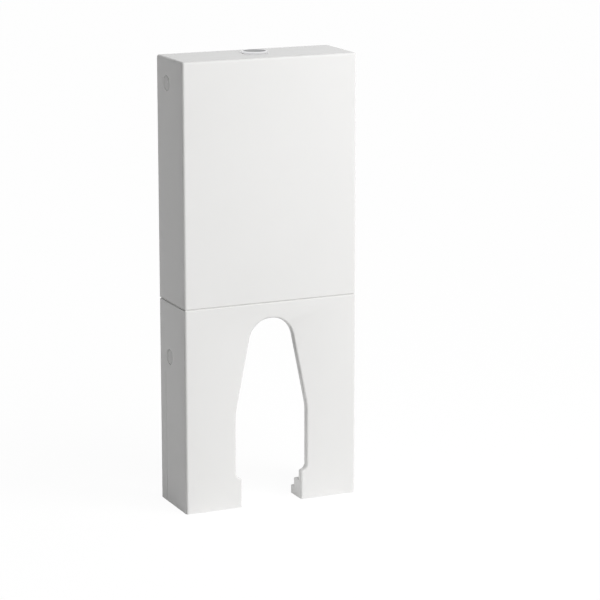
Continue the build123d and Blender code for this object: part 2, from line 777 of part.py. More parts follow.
# Foam jacket round the tank's front and sides, against condensation
jacket_inner_half_width = tank_half_width + jacket_gap
jacket_inner_y = tank_front_y - tank_rib_height - jacket_gap
with BuildPart() as tank_jacket:
    with BuildSketch(Plane.XY.offset(tank_base_z + jacket_margin)) as jacket_outline:
        with Locations((0, jacket_inner_y - jacket_thickness)):
            Rectangle(
                2 * (jacket_inner_half_width + jacket_thickness),
                rail_front_y - jacket_back_gap - jacket_inner_y + jacket_thickness,
                align=(Align.CENTER, Align.MIN),
            )
        fillet(jacket_outline.vertices().group_by(Axis.Y)[0], radius=jacket_thickness)
        with Locations((0, jacket_inner_y)):
            Rectangle(
                2 * jacket_inner_half_width,
                casing_depth,
                align=(Align.CENTER, Align.MIN),
                mode=Mode.SUBTRACT,
            )
    extrude(amount=tank_height - 2 * jacket_margin)
tank_jacket.part.label = "tank_jacket"
export_step(tank_jacket.part, "parts/tank_jacket.step")

# Clips welded to the rail, which hold the tank's top down and back
clip_front_y = rail_front_y - clip_thickness
with BuildPart() as tank_clips:
    for side in (-1, 1):
        with BuildSketch(Plane.YZ.offset(side * clip_x - clip_width / 2)):
            with BuildLine():
                Polyline(
                    (rail_front_y, tank_top_z),
                    (rail_front_y, rail_centre_z + clip_rise / 2),
                    (clip_front_y, rail_centre_z + clip_rise / 2),
                    (clip_front_y, tank_top_z + clip_thickness),
                    (rail_front_y - clip_foot, tank_top_z + clip_thickness),
                    (rail_front_y - clip_foot, tank_top_z),
                    close=True,
                )
            make_face()
        extrude(amount=clip_width)
tank_clips.part.label = "tank_clips"
export_step(tank_clips.part, "parts/tank_clips.step")

# Bright ring round the button, one moulding with the threaded sleeve that passes through the casing's
# top, and with a web at its foot for the springs
with BuildPart() as button_bezel:
    with BuildSketch(Plane.XZ.offset(-button_y)):
        with BuildLine():
            Polyline(
                (0, sleeve_base_z),
                (sleeve_radius, sleeve_base_z),
                (sleeve_radius, casing_top_z),
                (bezel_radius, casing_top_z),
                (bezel_radius, bezel_top_z - bezel_edge),
                (bezel_radius - bezel_edge, bezel_top_z),
                (sleeve_bore_radius, bezel_top_z),
                (sleeve_bore_radius, sleeve_web_top_z),
                (0, sleeve_web_top_z),
                close=True,
            )
        make_face()
    revolve(axis=Axis((0, button_y, 0), (0, 0, 1)))
    with BuildSketch(Plane.XY.offset(sleeve_base_z - overrun)):
        with Locations(*rod_places):
            Rectangle(rod_width + 2 * rod_clearance, rod_width + 2 * rod_clearance)
    extrude(amount=sleeve_web + 2 * overrun, mode=Mode.SUBTRACT)
button_bezel.part.label = "button_bezel"
export_step(button_bezel.part, "parts/button_bezel.step")

# Nut that clamps the sleeve under the casing's top
with BuildPart() as button_nut:
    with BuildSketch(Plane.XY.offset(inner_top_z)):
        with Locations((0, button_y)):
            RegularPolygon(button_nut_radius, button_nut_sides)
            Circle(sleeve_radius + thread_clearance, mode=Mode.SUBTRACT)
    extrude(amount=-button_nut_height)
button_nut.part.label = "button_nut"
export_step(button_nut.part, "parts/button_nut.step")

# The two parts of the round button: a smaller one in front and a larger one behind it
split_y = button_y - button_split
button_halves = (
    ("half_flush_button", -1, rod_places[0]),
    ("full_flush_button", 1, rod_places[1]),
)
for name, half, rod_place in button_halves:
    with BuildPart() as button:
        with BuildSketch(Plane.XY.offset(button_base_z)) as segment:
            with Locations((0, button_y)):
                Circle(button_radius)
            with Locations((0, split_y - half * (button_radius * 2 - button_split_gap / 2))):
                Rectangle(4 * button_radius, 4 * button_radius, mode=Mode.SUBTRACT)
        extrude(amount=button_height)
        with BuildSketch(Plane.XY.offset(button_base_z - overrun)):
            add(offset(segment.sketch, amount=-button_skirt, mode=Mode.PRIVATE))
        extrude(amount=button_height - button_crown + overrun, mode=Mode.SUBTRACT)
        with BuildSketch(Plane.XY.offset(rod_boss_z)):
            with Locations(rod_place):
                Circle(rod_boss_radius)
        extrude(amount=rod_boss_depth - button_crown / 2)
        with BuildSketch(Plane.XY.offset(rod_boss_z - overrun)):
            with Locations(rod_place):
                Rectangle(rod_width + 2 * rod_seat_clearance, rod_width + 2 * rod_seat_clearance)
        extrude(amount=rod_boss_depth - button_crown + overrun, mode=Mode.SUBTRACT)
        chamfer(button.faces().sort_by(Axis.Z)[-1].edges(), length=button_edge)
    button.part.label = name
    export_step(button.part, f"parts/{name}.step")

# Square push rods, with blunt tips where they meet the levers
for name, rod_place in (("half_flush_rod", rod_places[0]), ("full_flush_rod", rod_places[1])):
    with BuildPart() as rod:
        with BuildSketch(Plane.XY.offset(rod_tip_z)):
            with Locations(rod_place):
                Rectangle(rod_width, rod_width)
        extrude(amount=button_top_z - button_crown - rod_tip_z)
        chamfer(rod.faces().sort_by(Axis.Z)[0].edges(), length=rod_tip_chamfer)
    rod.part.label = name
    export_step(rod.part, f"parts/{name}.step")

# Return springs round the rods, from the sleeve's web to the buttons' bosses. They are hidden, and stand
# as plain tubes of the coils' inner and outer size.
for name, rod_place in (("half_flush_spring", rod_places[0]), ("full_flush_spring", rod_places[1])):
    with BuildPart() as spring:
        with BuildSketch(Plane.XY.offset(spring_base_z)):
            with Locations(rod_place):
                Circle(spring_radius + spring_wire_radius)
                Circle(spring_radius - spring_wire_radius, mode=Mode.SUBTRACT)
        extrude(amount=spring_top_z - spring_base_z)
    spring.part.label = name
    export_step(spring.part, f"parts/{name}.step")

# Flush valve's base: seat, strainer skirt, and an outlet spigot with a thread for its nut and a plain tail
with BuildPart() as valve_base:
    with BuildSketch(Plane.XZ.offset(-button_y)):
        with BuildLine():
            Polyline(
                (spigot_bore_radius, spigot_end_z),
                (spigot_radius, spigot_end_z),
                (spigot_radius, spigot_tail_z),
                (spigot_thread_radius, spigot_tail_z + spigot_thread_depth),
                (spigot_thread_radius, gasket_top_z),
                (valve_flange_radius, gasket_top_z),
                (valve_flange_radius, skirt_top_z),
                (skirt_bore_radius, skirt_top_z),
                (skirt_bore_radius, valve_flange_z),
                (spigot_bore_radius + seat_lip_width, valve_flange_z),
                (spigot_bore_radius + seat_lip_width, seat_z),
                (spigot_bore_radius, seat_z),
                close=True,
            )
        make_face()
    revolve(axis=Axis((0, button_y, 0), (0, 0, 1)))
valve_base.part.label = "valve_base"
export_step(valve_base.part, "parts/valve_base.step")

with BuildPart() as outlet_gasket:
    with BuildSketch(Plane.XY.offset(tank_floor_z)):
        with Locations((0, button_y)):
            Circle(valve_flange_radius)
            Circle(spigot_thread_radius + outlet_clearance, mode=Mode.SUBTRACT)
    extrude(amount=gasket_thickness)
outlet_gasket.part.label = "outlet_gasket"
export_step(outlet_gasket.part, "parts/outlet_gasket.step")

with BuildPart() as outlet_nut:
    with BuildSketch(Plane.XY.offset(tank_base_z)):
        with Locations((0, button_y)):
            RegularPolygon(outlet_nut_radius, outlet_nut_sides)
            Circle(spigot_thread_radius + thread_clearance, mode=Mode.SUBTRACT)
    extrude(amount=-outlet_nut_height)
outlet_nut.part.label = "outlet_nut"
export_step(outlet_nut.part, "parts/outlet_nut.step")

# Guide cage on the base: a windowed drum below, a column above it, and two cheeks on the column's head
# that hold the levers' pin
with BuildPart() as valve_cage:
    with BuildSketch(Plane.XZ.offset(-button_y)):
        with BuildLine():
            Polyline(
                (skirt_bore_radius, skirt_top_z),
                (valve_flange_radius, skirt_top_z),
                (valve_flange_radius, cage_top_z),
                (column_radius, cage_top_z),
                (column_radius, column_top_z),
                (column_bore_radius, column_top_z),
                (column_bore_radius, cage_top_z - cage_top_thickness),
                (skirt_bore_radius, cage_top_z - cage_top_thickness),
                close=True,
            )
        make_face()
    revolve(axis=Axis((0, button_y, 0), (0, 0, 1)))
    with Locations((0, button_y, skirt_top_z + cage_window_rise + cage_window_height / 2)):
        with PolarLocations(valve_flange_radius, cage_window_count):
            Box(3 * valve_skirt, cage_window_width, cage_window_height, mode=Mode.SUBTRACT)
    with BuildSketch(Plane.XY.offset(cage_top_z + overrun)):
        with Locations((-rod_offset_x, button_y + lever_reach)):
            Rectangle(half_rod_width + 2 * half_rod_clearance, half_rod_width + 2 * half_rod_clearance)
    extrude(amount=-(cage_top_thickness + 2 * overrun), mode=Mode.SUBTRACT)
    with BuildSketch(Plane.XY.offset(column_top_z - head_collar_height)):
        with Locations((0, button_y)):
            Rectangle(2 * pin_end_x, cheek_width)
            Circle(column_bore_radius, mode=Mode.SUBTRACT)
    extrude(amount=head_collar_height)
    for side in (-1, 1):
        with BuildSketch(Plane.YZ.offset(side * cheek_x)) as cheek:
            with Locations((button_y, column_top_z - head_collar_height / 2)):
                Rectangle(
                    cheek_width,
                    lever_pin_z + cheek_crown - column_top_z + head_collar_height / 2,
                    align=(Align.CENTER, Align.MIN),
                )
            chamfer(cheek.vertices().group_by(Axis.Z)[-1], length=cheek_chamfer)
        extrude(amount=side * cheek_thickness)
    with BuildSketch(Plane.YZ.offset(-pin_end_x - overrun)):
        with Locations((button_y, lever_pin_z)):
            Circle(lever_pin_radius + lever_pin_clearance)
    extrude(amount=2 * (pin_end_x + overrun), mode=Mode.SUBTRACT)
valve_cage.part.label = "valve_cage"
export_step(valve_cage.part, "parts/valve_cage.step")

with BuildPart() as lever_pin:
    with BuildSketch(Plane.YZ.offset(-pin_end_x - lever_pin_tail)):
        with Locations((button_y, lever_pin_z)):
            Circle(lever_pin_radius)
    extrude(amount=2 * pin_end_x + lever_pin_tail)
    with BuildSketch(Plane.YZ.offset(pin_end_x)):
        with Locations((button_y, lever_pin_z)):
            RegularPolygon(lever_pin_head_radius, 6)
    extrude(amount=lever_pin_head)
lever_pin.part.label = "lever_pin"
export_step(lever_pin.part, "parts/lever_pin.step")

# Levers side by side on the pin: a push rod presses one end down, and the other end lifts a hook
for name, side, pad_side in (("half_flush_lever", -1, -1), ("full_flush_lever", 1, 1)):
    with BuildPart() as lever:
        with BuildSketch(Plane.YZ.offset(side * lever_hub_gap)):
            with Locations((button_y + pad_side * (lever_pad - lever_tip) / 2, lever_pin_z)):
                SlotOverall(lever_pad + lever_tip, lever_thickness)
            with Locations((button_y, lever_pin_z)):
                Circle(lever_hub_radius)
                Circle(lever_pin_radius + lever_pin_clearance, mode=Mode.SUBTRACT)
        extrude(amount=side * (cheek_x - 2 * lever_hub_gap))
    lever.part.label = name
    export_step(lever.part, f"parts/{name}.step")

# Spindle: the overflow tube, with the seal's foot below and a hook over the full-flush lever's tip
with BuildPart() as valve_spindle:
    with BuildSketch(Plane.XY.offset(seat_z)):
        with Locations((0, button_y)):
            Circle(spindle_radius)
    extrude(amount=spindle_top_z - seat_z)
    with BuildSketch(Plane.XY.offset(seat_z + seal_thickness)):
        with Locations((0, button_y)):
            Circle(spindle_foot_radius)
    extrude(amount=spindle_foot_thickness)
    with BuildSketch(Plane.YZ.offset(rod_offset_x - hook_width / 2)):
        with BuildLine():
            Polyline(
                (button_y, spindle_top_z - hook_arm_thickness),
                (button_y - hook_post_reach - hook_post, spindle_top_z - hook_arm_thickness),
                (button_y - hook_post_reach - hook_post, hook_ledge_z + hook_ledge),
                (button_y - lever_reach + hook_post, hook_ledge_z + hook_ledge),
                (button_y - lever_reach + hook_post, hook_ledge_z),
                (button_y - hook_post_reach, hook_ledge_z),
                (button_y - hook_post_reach, spindle_top_z),
                (button_y, spindle_top_z),
                close=True,
            )
        make_face()
    extrude(amount=hook_width)
    with BuildSketch(Plane.XY.offset(seat_z - overrun)):
        with Locations((0, button_y)):
            Circle(spindle_bore_radius)
    extrude(amount=spindle_top_z - seat_z + 2 * overrun, mode=Mode.SUBTRACT)
valve_spindle.part.label = "valve_spindle"
export_step(valve_spindle.part, "parts/valve_spindle.step")

with BuildPart() as valve_seal:
    with BuildSketch(Plane.XY.offset(seat_z)):
        with Locations((0, button_y)):
            Circle(seal_radius)
            Circle(spindle_radius, mode=Mode.SUBTRACT)
    extrude(amount=seal_thickness)
valve_seal.part.label = "valve_seal"
export_step(valve_seal.part, "parts/valve_seal.step")

# Half-flush float: a closed ring round the spindle, with a rod and hook over the half-flush lever's tip
with BuildPart() as half_flush_float:
    with BuildSketch(Plane.XY.offset(half_float_z)):
        with Locations((0, button_y)):
            Circle(half_float_radius)
    extrude(amount=half_float_height)
    with BuildSketch(Plane.XY.offset(half_float_z + half_float_height - half_float_overlap)):
        with Locations((-rod_offset_x, button_y + lever_reach)):
            Rectangle(half_rod_width, half_rod_width)
    extrude(amount=spindle_top_z - half_float_z - half_float_height + half_float_overlap)
    with BuildSketch(Plane.YZ.offset(-rod_offset_x - hook_width / 2)):
        with BuildLine():
            Polyline(
                (button_y + lever_reach - half_rod_width / 2, spindle_top_z - hook_arm_thickness),
                (button_y + hook_post_reach + hook_post, spindle_top_z - hook_arm_thickness),
                (button_y + hook_post_reach + hook_post, hook_ledge_z + hook_ledge),
                (button_y + lever_reach - hook_post, hook_ledge_z + hook_ledge),
                (button_y + lever_reach - hook_post, hook_ledge_z),
                (button_y + hook_post_reach, hook_ledge_z),
                (button_y + hook_post_reach, spindle_top_z),
                (button_y + lever_reach - half_rod_width / 2, spindle_top_z),
                close=True,
            )
        make_face()
    extrude(amount=hook_width)
    with BuildSketch(Plane.XY.offset(half_float_z - overrun)):
        with Locations((0, button_y)):
            Circle(spindle_radius + half_float_clearance)
    extrude(amount=half_float_height + 2 * overrun, mode=Mode.SUBTRACT)
half_flush_float.part.label = "half_flush_float"
export_step(half_flush_float.part, "parts/half_flush_float.step")

# Fill valve's body: threaded shank below the tank, riser and head, with a spout for the outlet tube and
# two ears for the float lever's pin
with BuildPart() as fill_valve_body:
    with BuildSketch(Plane.XZ.offset(-fill_y)):
        with BuildLine():
            Polyline(
                (fill_x + fill_bore_radius, fill_end_z),
                (fill_x + fill_tail_radius, fill_end_z),
                (fill_x + fill_tail_radius, fill_tail_z),
                (fill_x + fill_shank_radius, fill_tail_z + fill_thread_step),
                (fill_x + fill_shank_radius, gasket_top_z),
                (fill_x + fill_flange_radius, gasket_top_z),
                (fill_x + fill_flange_radius, fill_seat_z),
                (fill_x + fill_riser_radius, fill_seat_z),
                (fill_x + fill_riser_radius, fill_head_z),
                (fill_x + fill_head_radius, fill_head_z),
                (fill_x + fill_head_radius, fill_cap_z + fill_cap_height),
                (fill_x, fill_cap_z + fill_cap_height),
                (fill_x, fill_cap_z),
                (fill_x + fill_bore_radius, fill_cap_z),
                close=True,
            )
        make_face()
    revolve(axis=Axis((fill_x, fill_y, 0), (0, 0, 1)))
    with BuildSketch(Plane.XY.offset(spout_z)):
        with Locations((outlet_tube_x, fill_y)):
            Circle(outlet_tube_radius + spout_wall)
            Rectangle(
                outlet_tube_offset, 2 * (outlet_tube_radius + spout_wall), align=(Align.MIN, Align.CENTER)
            )
        with Locations((fill_x, fill_y)):
            Circle(fill_riser_radius, mode=Mode.SUBTRACT)
    extrude(amount=spout_height)
    with BuildSketch(Plane.XY.offset(spout_z - overrun)):
        with Locations((outlet_tube_x, fill_y)):
            Circle(outlet_tube_bore_radius)
    extrude(amount=overrun + spout_height - spout_wall, mode=Mode.SUBTRACT)
    for side in (-1, 1):
        with BuildSketch(Plane.XZ.offset(-fill_y - side * fill_ear_gap / 2)) as ear:
            with Locations((float_pin_x, fill_cap_z + fill_cap_height / 2)):
                Rectangle(
                    fill_ear_length,
                    float_pin_z + fill_ear_length / 2 - fill_cap_z - fill_cap_height / 2,
                    align=(Align.CENTER, Align.MIN),
                )
            chamfer(ear.vertices().group_by(Axis.Z)[-1], length=fill_ear_chamfer)
        extrude(amount=-side * fill_ear_thickness)
    with BuildSketch(Plane.XZ.offset(-fill_y - fill_head_radius)):
        with Locations((float_pin_x, float_pin_z)):
            Circle(float_pin_radius + lever_pin_clearance)
    extrude(amount=2 * fill_head_radius, mode=Mode.SUBTRACT)
fill_valve_body.part.label = "fill_valve_body"
export_step(fill_valve_body.part, "parts/fill_valve_body.step")

with BuildPart() as fill_gasket:
    with BuildSketch(Plane.XY.offset(tank_floor_z)):
        with Locations((fill_x, fill_y)):
            Circle(fill_flange_radius)
            Circle(fill_shank_radius + fill_hole_clearance, mode=Mode.SUBTRACT)
    extrude(amount=gasket_thickness)
fill_gasket.part.label = "fill_gasket"
export_step(fill_gasket.part, "parts/fill_gasket.step")

with BuildPart() as fill_nut:
    with BuildSketch(Plane.XY.offset(tank_base_z)):
        with Locations((fill_x, fill_y)):
            RegularPolygon(fill_nut_radius, 6)
            Circle(fill_shank_radius + thread_clearance, mode=Mode.SUBTRACT)
    extrude(amount=-fill_nut_height)
fill_nut.part.label = "fill_nut"
export_step(fill_nut.part, "parts/fill_nut.step")

with BuildPart() as float_lever_pin:
    with BuildSketch(Plane.XZ.offset(-fill_y - pin_half_length)):
        with Locations((float_pin_x, float_pin_z)):
            Circle(float_pin_radius)
    extrude(amount=2 * pin_half_length)
float_lever_pin.part.label = "float_lever_pin"
export_step(float_lever_pin.part, "parts/float_lever_pin.step")

# Float: an inverted cup that slides on the riser, with a rod that carries the lever between collars
with BuildPart() as float_cup:
    with BuildSketch(Plane.XY.offset(float_base_z)):
        with Locations((fill_x, fill_y)):
            RectangleRounded(float_length, float_depth, float_corner_radius)
    extrude(amount=float_height)
    with BuildSketch(Plane.XY.offset(float_base_z - overrun)):
        with Locations((fill_x, fill_y)):
            RectangleRounded(
                float_length - 2 * float_wall, float_depth - 2 * float_wall, float_corner_radius - float_wall
            )
            Circle(fill_riser_radius + float_clearance + float_wall, mode=Mode.SUBTRACT)
    extrude(amount=float_height - float_wall + overrun, mode=Mode.SUBTRACT)
    with BuildSketch(Plane.XY.offset(float_base_z - overrun)):
        with Locations((fill_x, fill_y)):
            Circle(fill_riser_radius + float_clearance)
    extrude(amount=float_height + 2 * overrun, mode=Mode.SUBTRACT)
    with BuildSketch(Plane.XY.offset(float_top_z - float_wall)):
        with Locations((float_rod_x, fill_y)):
            Rectangle(float_rod_width, float_rod_width)
    extrude(amount=collar_top_z + float_rod_tail - float_top_z + float_wall)
    for collar_z in (collar_base_z - float_collar_height, collar_top_z - float_collar_height):
        with BuildSketch(Plane.XY.offset(collar_z)):
            with Locations((float_rod_x, fill_y)):
                Rectangle(float_collar_width, float_collar_width)
        extrude(amount=float_collar_height)
float_cup.part.label = "float_cup"
export_step(float_cup.part, "parts/float_cup.step")

# Float lever: hinged on the cap's ears, with a slotted eye round the float's rod
arm_direction = (math.cos(float_rest_angle), 0, math.sin(float_rest_angle))
arm_normal = (-math.sin(float_rest_angle), 0, math.cos(float_rest_angle))
arm_plane = Plane(origin=(float_pin_x, fill_y, float_pin_z), x_dir=arm_direction, z_dir=arm_normal)
with BuildPart() as float_lever:
    with BuildSketch(arm_plane.offset(-float_arm_thickness / 2)):
        Rectangle(float_arm_reach, float_arm_width, align=(Align.MIN, Align.CENTER))
        with Locations((float_arm_reach, 0)):
            SlotOverall(float_slot_length + 2 * float_eye_wall, float_slot_width + 2 * float_eye_wall)
            SlotOverall(float_slot_length, float_slot_width, mode=Mode.SUBTRACT)
    extrude(amount=float_arm_thickness)
    with BuildSketch(Plane.XZ.offset(-fill_y - float_arm_width / 2)):
        with Locations((float_pin_x, float_pin_z)):
            Circle(float_hub_radius)
    extrude(amount=float_arm_width)
    with BuildSketch(Plane.XZ.offset(-fill_y - float_arm_width)):
        with Locations((float_pin_x, float_pin_z)):
            Circle(float_pin_radius + lever_pin_clearance)
    extrude(amount=2 * float_arm_width, mode=Mode.SUBTRACT)
float_lever.part.label = "float_lever"
export_step(float_lever.part, "parts/float_lever.step")

# Outlet tube: plugged into the spout's collar and ending near the floor of the tank
outlet_tube_end_z = tank_floor_z + outlet_tube_end_gap
with BuildPart() as fill_outlet_tube:
    with BuildSketch(Plane.XY.offset(outlet_tube_end_z)):
        with Locations((outlet_tube_x, fill_y)):
            Circle(outlet_tube_radius)
            Circle(outlet_tube_bore_radius, mode=Mode.SUBTRACT)
    extrude(amount=spout_z - outlet_tube_end_z)
fill_outlet_tube.part.label = "fill_outlet_tube"
export_step(fill_outlet_tube.part, "parts/fill_outlet_tube.step")
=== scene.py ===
"""Dresses the toilet cistern: its finishes, its small pieces, the studio and the camera."""

import json
import logging
import math
from dataclasses import dataclass
from enum import Enum
from typing import Protocol

import bmesh
import bpy
from mathutils import Matrix, Vector

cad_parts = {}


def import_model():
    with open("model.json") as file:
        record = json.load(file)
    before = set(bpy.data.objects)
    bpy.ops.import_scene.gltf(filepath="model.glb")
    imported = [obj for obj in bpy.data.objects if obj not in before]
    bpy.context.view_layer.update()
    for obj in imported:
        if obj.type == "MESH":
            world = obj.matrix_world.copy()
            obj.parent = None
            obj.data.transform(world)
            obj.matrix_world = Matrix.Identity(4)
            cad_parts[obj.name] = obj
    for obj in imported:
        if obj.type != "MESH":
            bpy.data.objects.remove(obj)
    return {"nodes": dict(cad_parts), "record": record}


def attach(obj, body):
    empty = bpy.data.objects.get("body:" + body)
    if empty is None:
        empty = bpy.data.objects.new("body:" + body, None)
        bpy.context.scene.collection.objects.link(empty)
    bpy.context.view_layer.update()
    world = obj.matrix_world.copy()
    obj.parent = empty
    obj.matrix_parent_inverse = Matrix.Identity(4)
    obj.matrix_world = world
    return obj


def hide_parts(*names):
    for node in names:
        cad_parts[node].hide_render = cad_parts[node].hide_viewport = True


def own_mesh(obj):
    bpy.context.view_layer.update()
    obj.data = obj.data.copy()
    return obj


LOG = logging.getLogger("cistern")
MM = 0.001
ROOT = "cistern"

# A finish's tone and roughness go from their first to their second value over these noise values.
TONE_BAND = (0.35, 0.65)
ROUGHNESS_BAND = (0.3, 0.7)
TONE_OCTAVES = 3.0
ROUGHNESS_OCTAVES = 4.0
RELIEF_OCTAVES = 3.0
REFRACTIVE_INDEX = 1.5
SCATTER_DEPTH = 2 * MM
DRAWN_SCALE = 0.03

MERGE_DISTANCE = 0.002 * MM
EDGE_SEGMENTS = 2

# Angles in degrees: faces within the flat one are joined, and edges past a crisp one aren't smoothed.
FLAT_ANGLE = 0.2
NODE_CRISP_ANGLE = 32.0
SHAPE_CRISP_ANGLE = 35.0

Triple = tuple[float, float, float]
Size = float | int | Triple


class Grain(Enum):
    """How a finish's relief runs over the surface."""

    EVEN = "even"
    DRAWN_Z = "drawn along Z"
    DRAWN_X = "drawn along X"
    CELLS = "cells"


@dataclass(frozen=True)
class Finish:
    """A procedural finish: two tones, a roughness range and a fine relief.

    Scales are waves per metre on Object coordinates, and relief is in metres.
    """

    name: str
    tone: Triple
    second_tone: Triple
    tone_scale: float
    roughness: tuple[float, float]
    roughness_scale: float
    relief: float
    relief_scale: float
    relief_strength: float
    metallic: float = 0.0
    coat: float = 0.0
    coat_roughness: float = 0.05
    subsurface: float = 0.0
    sheen: float = 0.0
    grain: Grain = Grain.EVEN

    def material(self) -> bpy.types.Material:
        """The finish's material, made once.

        Returns:
            The node material of this finish.
        """
        made = bpy.data.materials.get(self.name)
        if made is not None:
            return made
        material = bpy.data.materials.new(self.name)
        material.use_nodes = True
        tree = material.node_tree
        shader = tree.nodes["Principled BSDF"]
        for label, value in {
            "Metallic": self.metallic, "IOR": REFRACTIVE_INDEX, "Coat Weight": self.coat,
            "Coat Roughness": self.coat_roughness, "Sheen Weight": self.sheen,
            "Subsurface Weight": self.subsurface, "Subsurface Scale": SCATTER_DEPTH,
        }.items():
            shader.inputs[label].default_value = value
        place = tree.nodes.new("ShaderNodeTexCoord")
        turned = tree.nodes.new("ShaderNodeMapping")
        turned.inputs["Scale"].default_value = self._stretch()
        tree.links.new(place.outputs["Object"], turned.inputs["Vector"])
        self._add_tones(tree, shader, place.outputs["Object"])
        self._add_roughness(tree, shader, turned.outputs["Vector"])
        self._add_relief(tree, shader, turned.outputs["Vector"])
        return material

    def _stretch(self) -> Triple:
        """The scale of the coordinates of relief and roughness, which draws the grain out."""
        return {
            Grain.DRAWN_Z: (1.0, 1.0, DRAWN_SCALE),
            Grain.DRAWN_X: (DRAWN_SCALE, 1.0, 1.0),
        }.get(self.grain, (1.0, 1.0, 1.0))

    def _noise(
        self, tree: bpy.types.NodeTree, vector: bpy.types.NodeSocket, scale: float, detail: float
    ) -> bpy.types.NodeSocket:
        """A noise texture's value.

        Args:
            tree: the material's node tree.
            vector: where the texture is read.
            scale: waves per metre.
            detail: octaves of the noise.

        Returns:
            The socket with the value.
        """
        noise = tree.nodes.new("ShaderNodeTexNoise")
        noise.inputs["Scale"].default_value = scale
        noise.inputs["Detail"].default_value = detail
        tree.links.new(vector, noise.inputs["Vector"])
        return noise.outputs["Fac"]

    def _add_tones(
        self, tree: bpy.types.NodeTree, shader: bpy.types.Node, vector: bpy.types.NodeSocket
    ) -> None:
        """Lets the colour drift between the two tones.

        Args:
            tree: the material's node tree.
            shader: the Principled node.
            vector: the Object coordinates.
        """
        ramp = tree.nodes.new("ShaderNodeValToRGB")
        for element, position, tone in zip(
            ramp.color_ramp.elements, TONE_BAND, (self.tone, self.second_tone)
        ):
            element.position = position
            element.color = (*tone, 1.0)
        tree.links.new(self._noise(tree, vector, self.tone_scale, TONE_OCTAVES), ramp.inputs["Fac"])
        tree.links.new(ramp.outputs["Color"], shader.inputs["Base Color"])

    def _add_roughness(
        self, tree: bpy.types.NodeTree, shader: bpy.types.Node, vector: bpy.types.NodeSocket
    ) -> None:
        """Lets the roughness drift over its range.

        Args:
            tree: the material's node tree.
            shader: the Principled node.
            vector: the stretched coordinates.
        """
        spread = tree.nodes.new("ShaderNodeMapRange")
        for label, value in zip(
            ("From Min", "From Max", "To Min", "To Max"), (*ROUGHNESS_BAND, *self.roughness)
        ):
            spread.inputs[label].default_value = value
        drift = self._noise(tree, vector, self.roughness_scale, ROUGHNESS_OCTAVES)
        tree.links.new(drift, spread.inputs["Value"])
        tree.links.new(spread.outputs["Result"], shader.inputs["Roughness"])

    def _add_relief(
        self, tree: bpy.types.NodeTree, shader: bpy.types.Node, vector: bpy.types.NodeSocket
    ) -> None:
        """Adds the fine relief as bump.

        Args:
            tree: the material's node tree.
            shader: the Principled node.
            vector: the stretched coordinates.
        """
        if self.grain is Grain.CELLS:
            cells = tree.nodes.new("ShaderNodeTexVoronoi")
            cells.inputs["Scale"].default_value = self.relief_scale
            tree.links.new(vector, cells.inputs["Vector"])
            height = cells.outputs["Distance"]
        else:
            height = self._noise(tree, vector, self.relief_scale, RELIEF_OCTAVES)
        bump = tree.nodes.new("ShaderNodeBump")
        bump.inputs["Strength"].default_value = self.relief_strength
        bump.inputs["Distance"].default_value = self.relief
        tree.links.new(height, bump.inputs["Height"])
        tree.links.new(bump.outputs["Normal"], shader.inputs["Normal"])


GLAZE = Finish(
    "glazed_ceramic", (0.885, 0.882, 0.872), (0.9, 0.897, 0.888), 3.0, (0.1, 0.16), 9.0,
    0.05 * MM, 60.0, 0.12, coat=0.25, coat_roughness=0.04,
)
CAP_PLASTIC = Finish(
    "cap_plastic", (0.86, 0.857, 0.845), (0.88, 0.877, 0.866), 40.0, (0.2, 0.28), 60.0,
    0.02 * MM, 900.0, 0.15,
)
POWDER_COAT = Finish(
    "powder_coat", (0.045, 0.05, 0.058), (0.058, 0.063, 0.072), 14.0, (0.42, 0.55), 120.0,
    0.08 * MM, 1100.0, 0.5,
)
ZINC = Finish(
    "zinc_plate", (0.55, 0.56, 0.55), (0.66, 0.65, 0.6), 90.0, (0.24, 0.4), 150.0,
    0.02 * MM, 1500.0, 0.3, metallic=1.0, grain=Grain.DRAWN_X,
)
BLACK_RUBBER = Finish(
    "black_rubber", (0.018, 0.018, 0.02), (0.03, 0.03, 0.031), 60.0, (0.55, 0.75), 140.0,
    0.05 * MM, 1300.0, 0.5, sheen=0.05,
)
SEAL_STRIP = Finish(
    "seal_strip", (0.8, 0.8, 0.79), (0.85, 0.85, 0.84), 30.0, (0.6, 0.75), 90.0,
    0.1 * MM, 900.0, 0.5,
)
TANK_PLASTIC = Finish(
    "tank_plastic", (0.74, 0.75, 0.73), (0.79, 0.8, 0.785), 7.0, (0.34, 0.46), 40.0,
    0.06 * MM, 700.0, 0.35, subsurface=0.06,
)
FOAM = Finish(
    "closed_cell_foam", (0.66, 0.68, 0.7), (0.72, 0.735, 0.75), 25.0, (0.7, 0.85), 200.0,
    0.5 * MM, 420.0, 0.6, sheen=0.1, grain=Grain.CELLS,
)
CHROME = Finish(
    "chrome_plate", (0.8, 0.8, 0.81), (0.84, 0.84, 0.85), 30.0, (0.28, 0.34), 80.0,
    0.01 * MM, 400.0, 0.08, metallic=1.0,
)
SATIN_CHROME = Finish(
    "satin_chrome", (0.25, 0.255, 0.26), (0.29, 0.29, 0.295), 50.0, (0.3, 0.36), 200.0,
    0.02 * MM, 1800.0, 0.25, metallic=0.55,
)
WHITE_MOULDING = Finish(
    "white_moulding", (0.78, 0.79, 0.78), (0.83, 0.835, 0.82), 30.0, (0.3, 0.42), 90.0,
    0.03 * MM, 1200.0, 0.3, subsurface=0.05,
)
BLUE_MOULDING = Finish(
    "blue_moulding", (0.035, 0.12, 0.34), (0.05, 0.15, 0.4), 35.0, (0.28, 0.4), 90.0,
    0.03 * MM, 1200.0, 0.3,
)
GREY_MOULDING = Finish(
    "grey_moulding", (0.2, 0.21, 0.215), (0.25, 0.255, 0.26), 35.0, (0.34, 0.48), 90.0,
    0.04 * MM, 1100.0, 0.4,
)
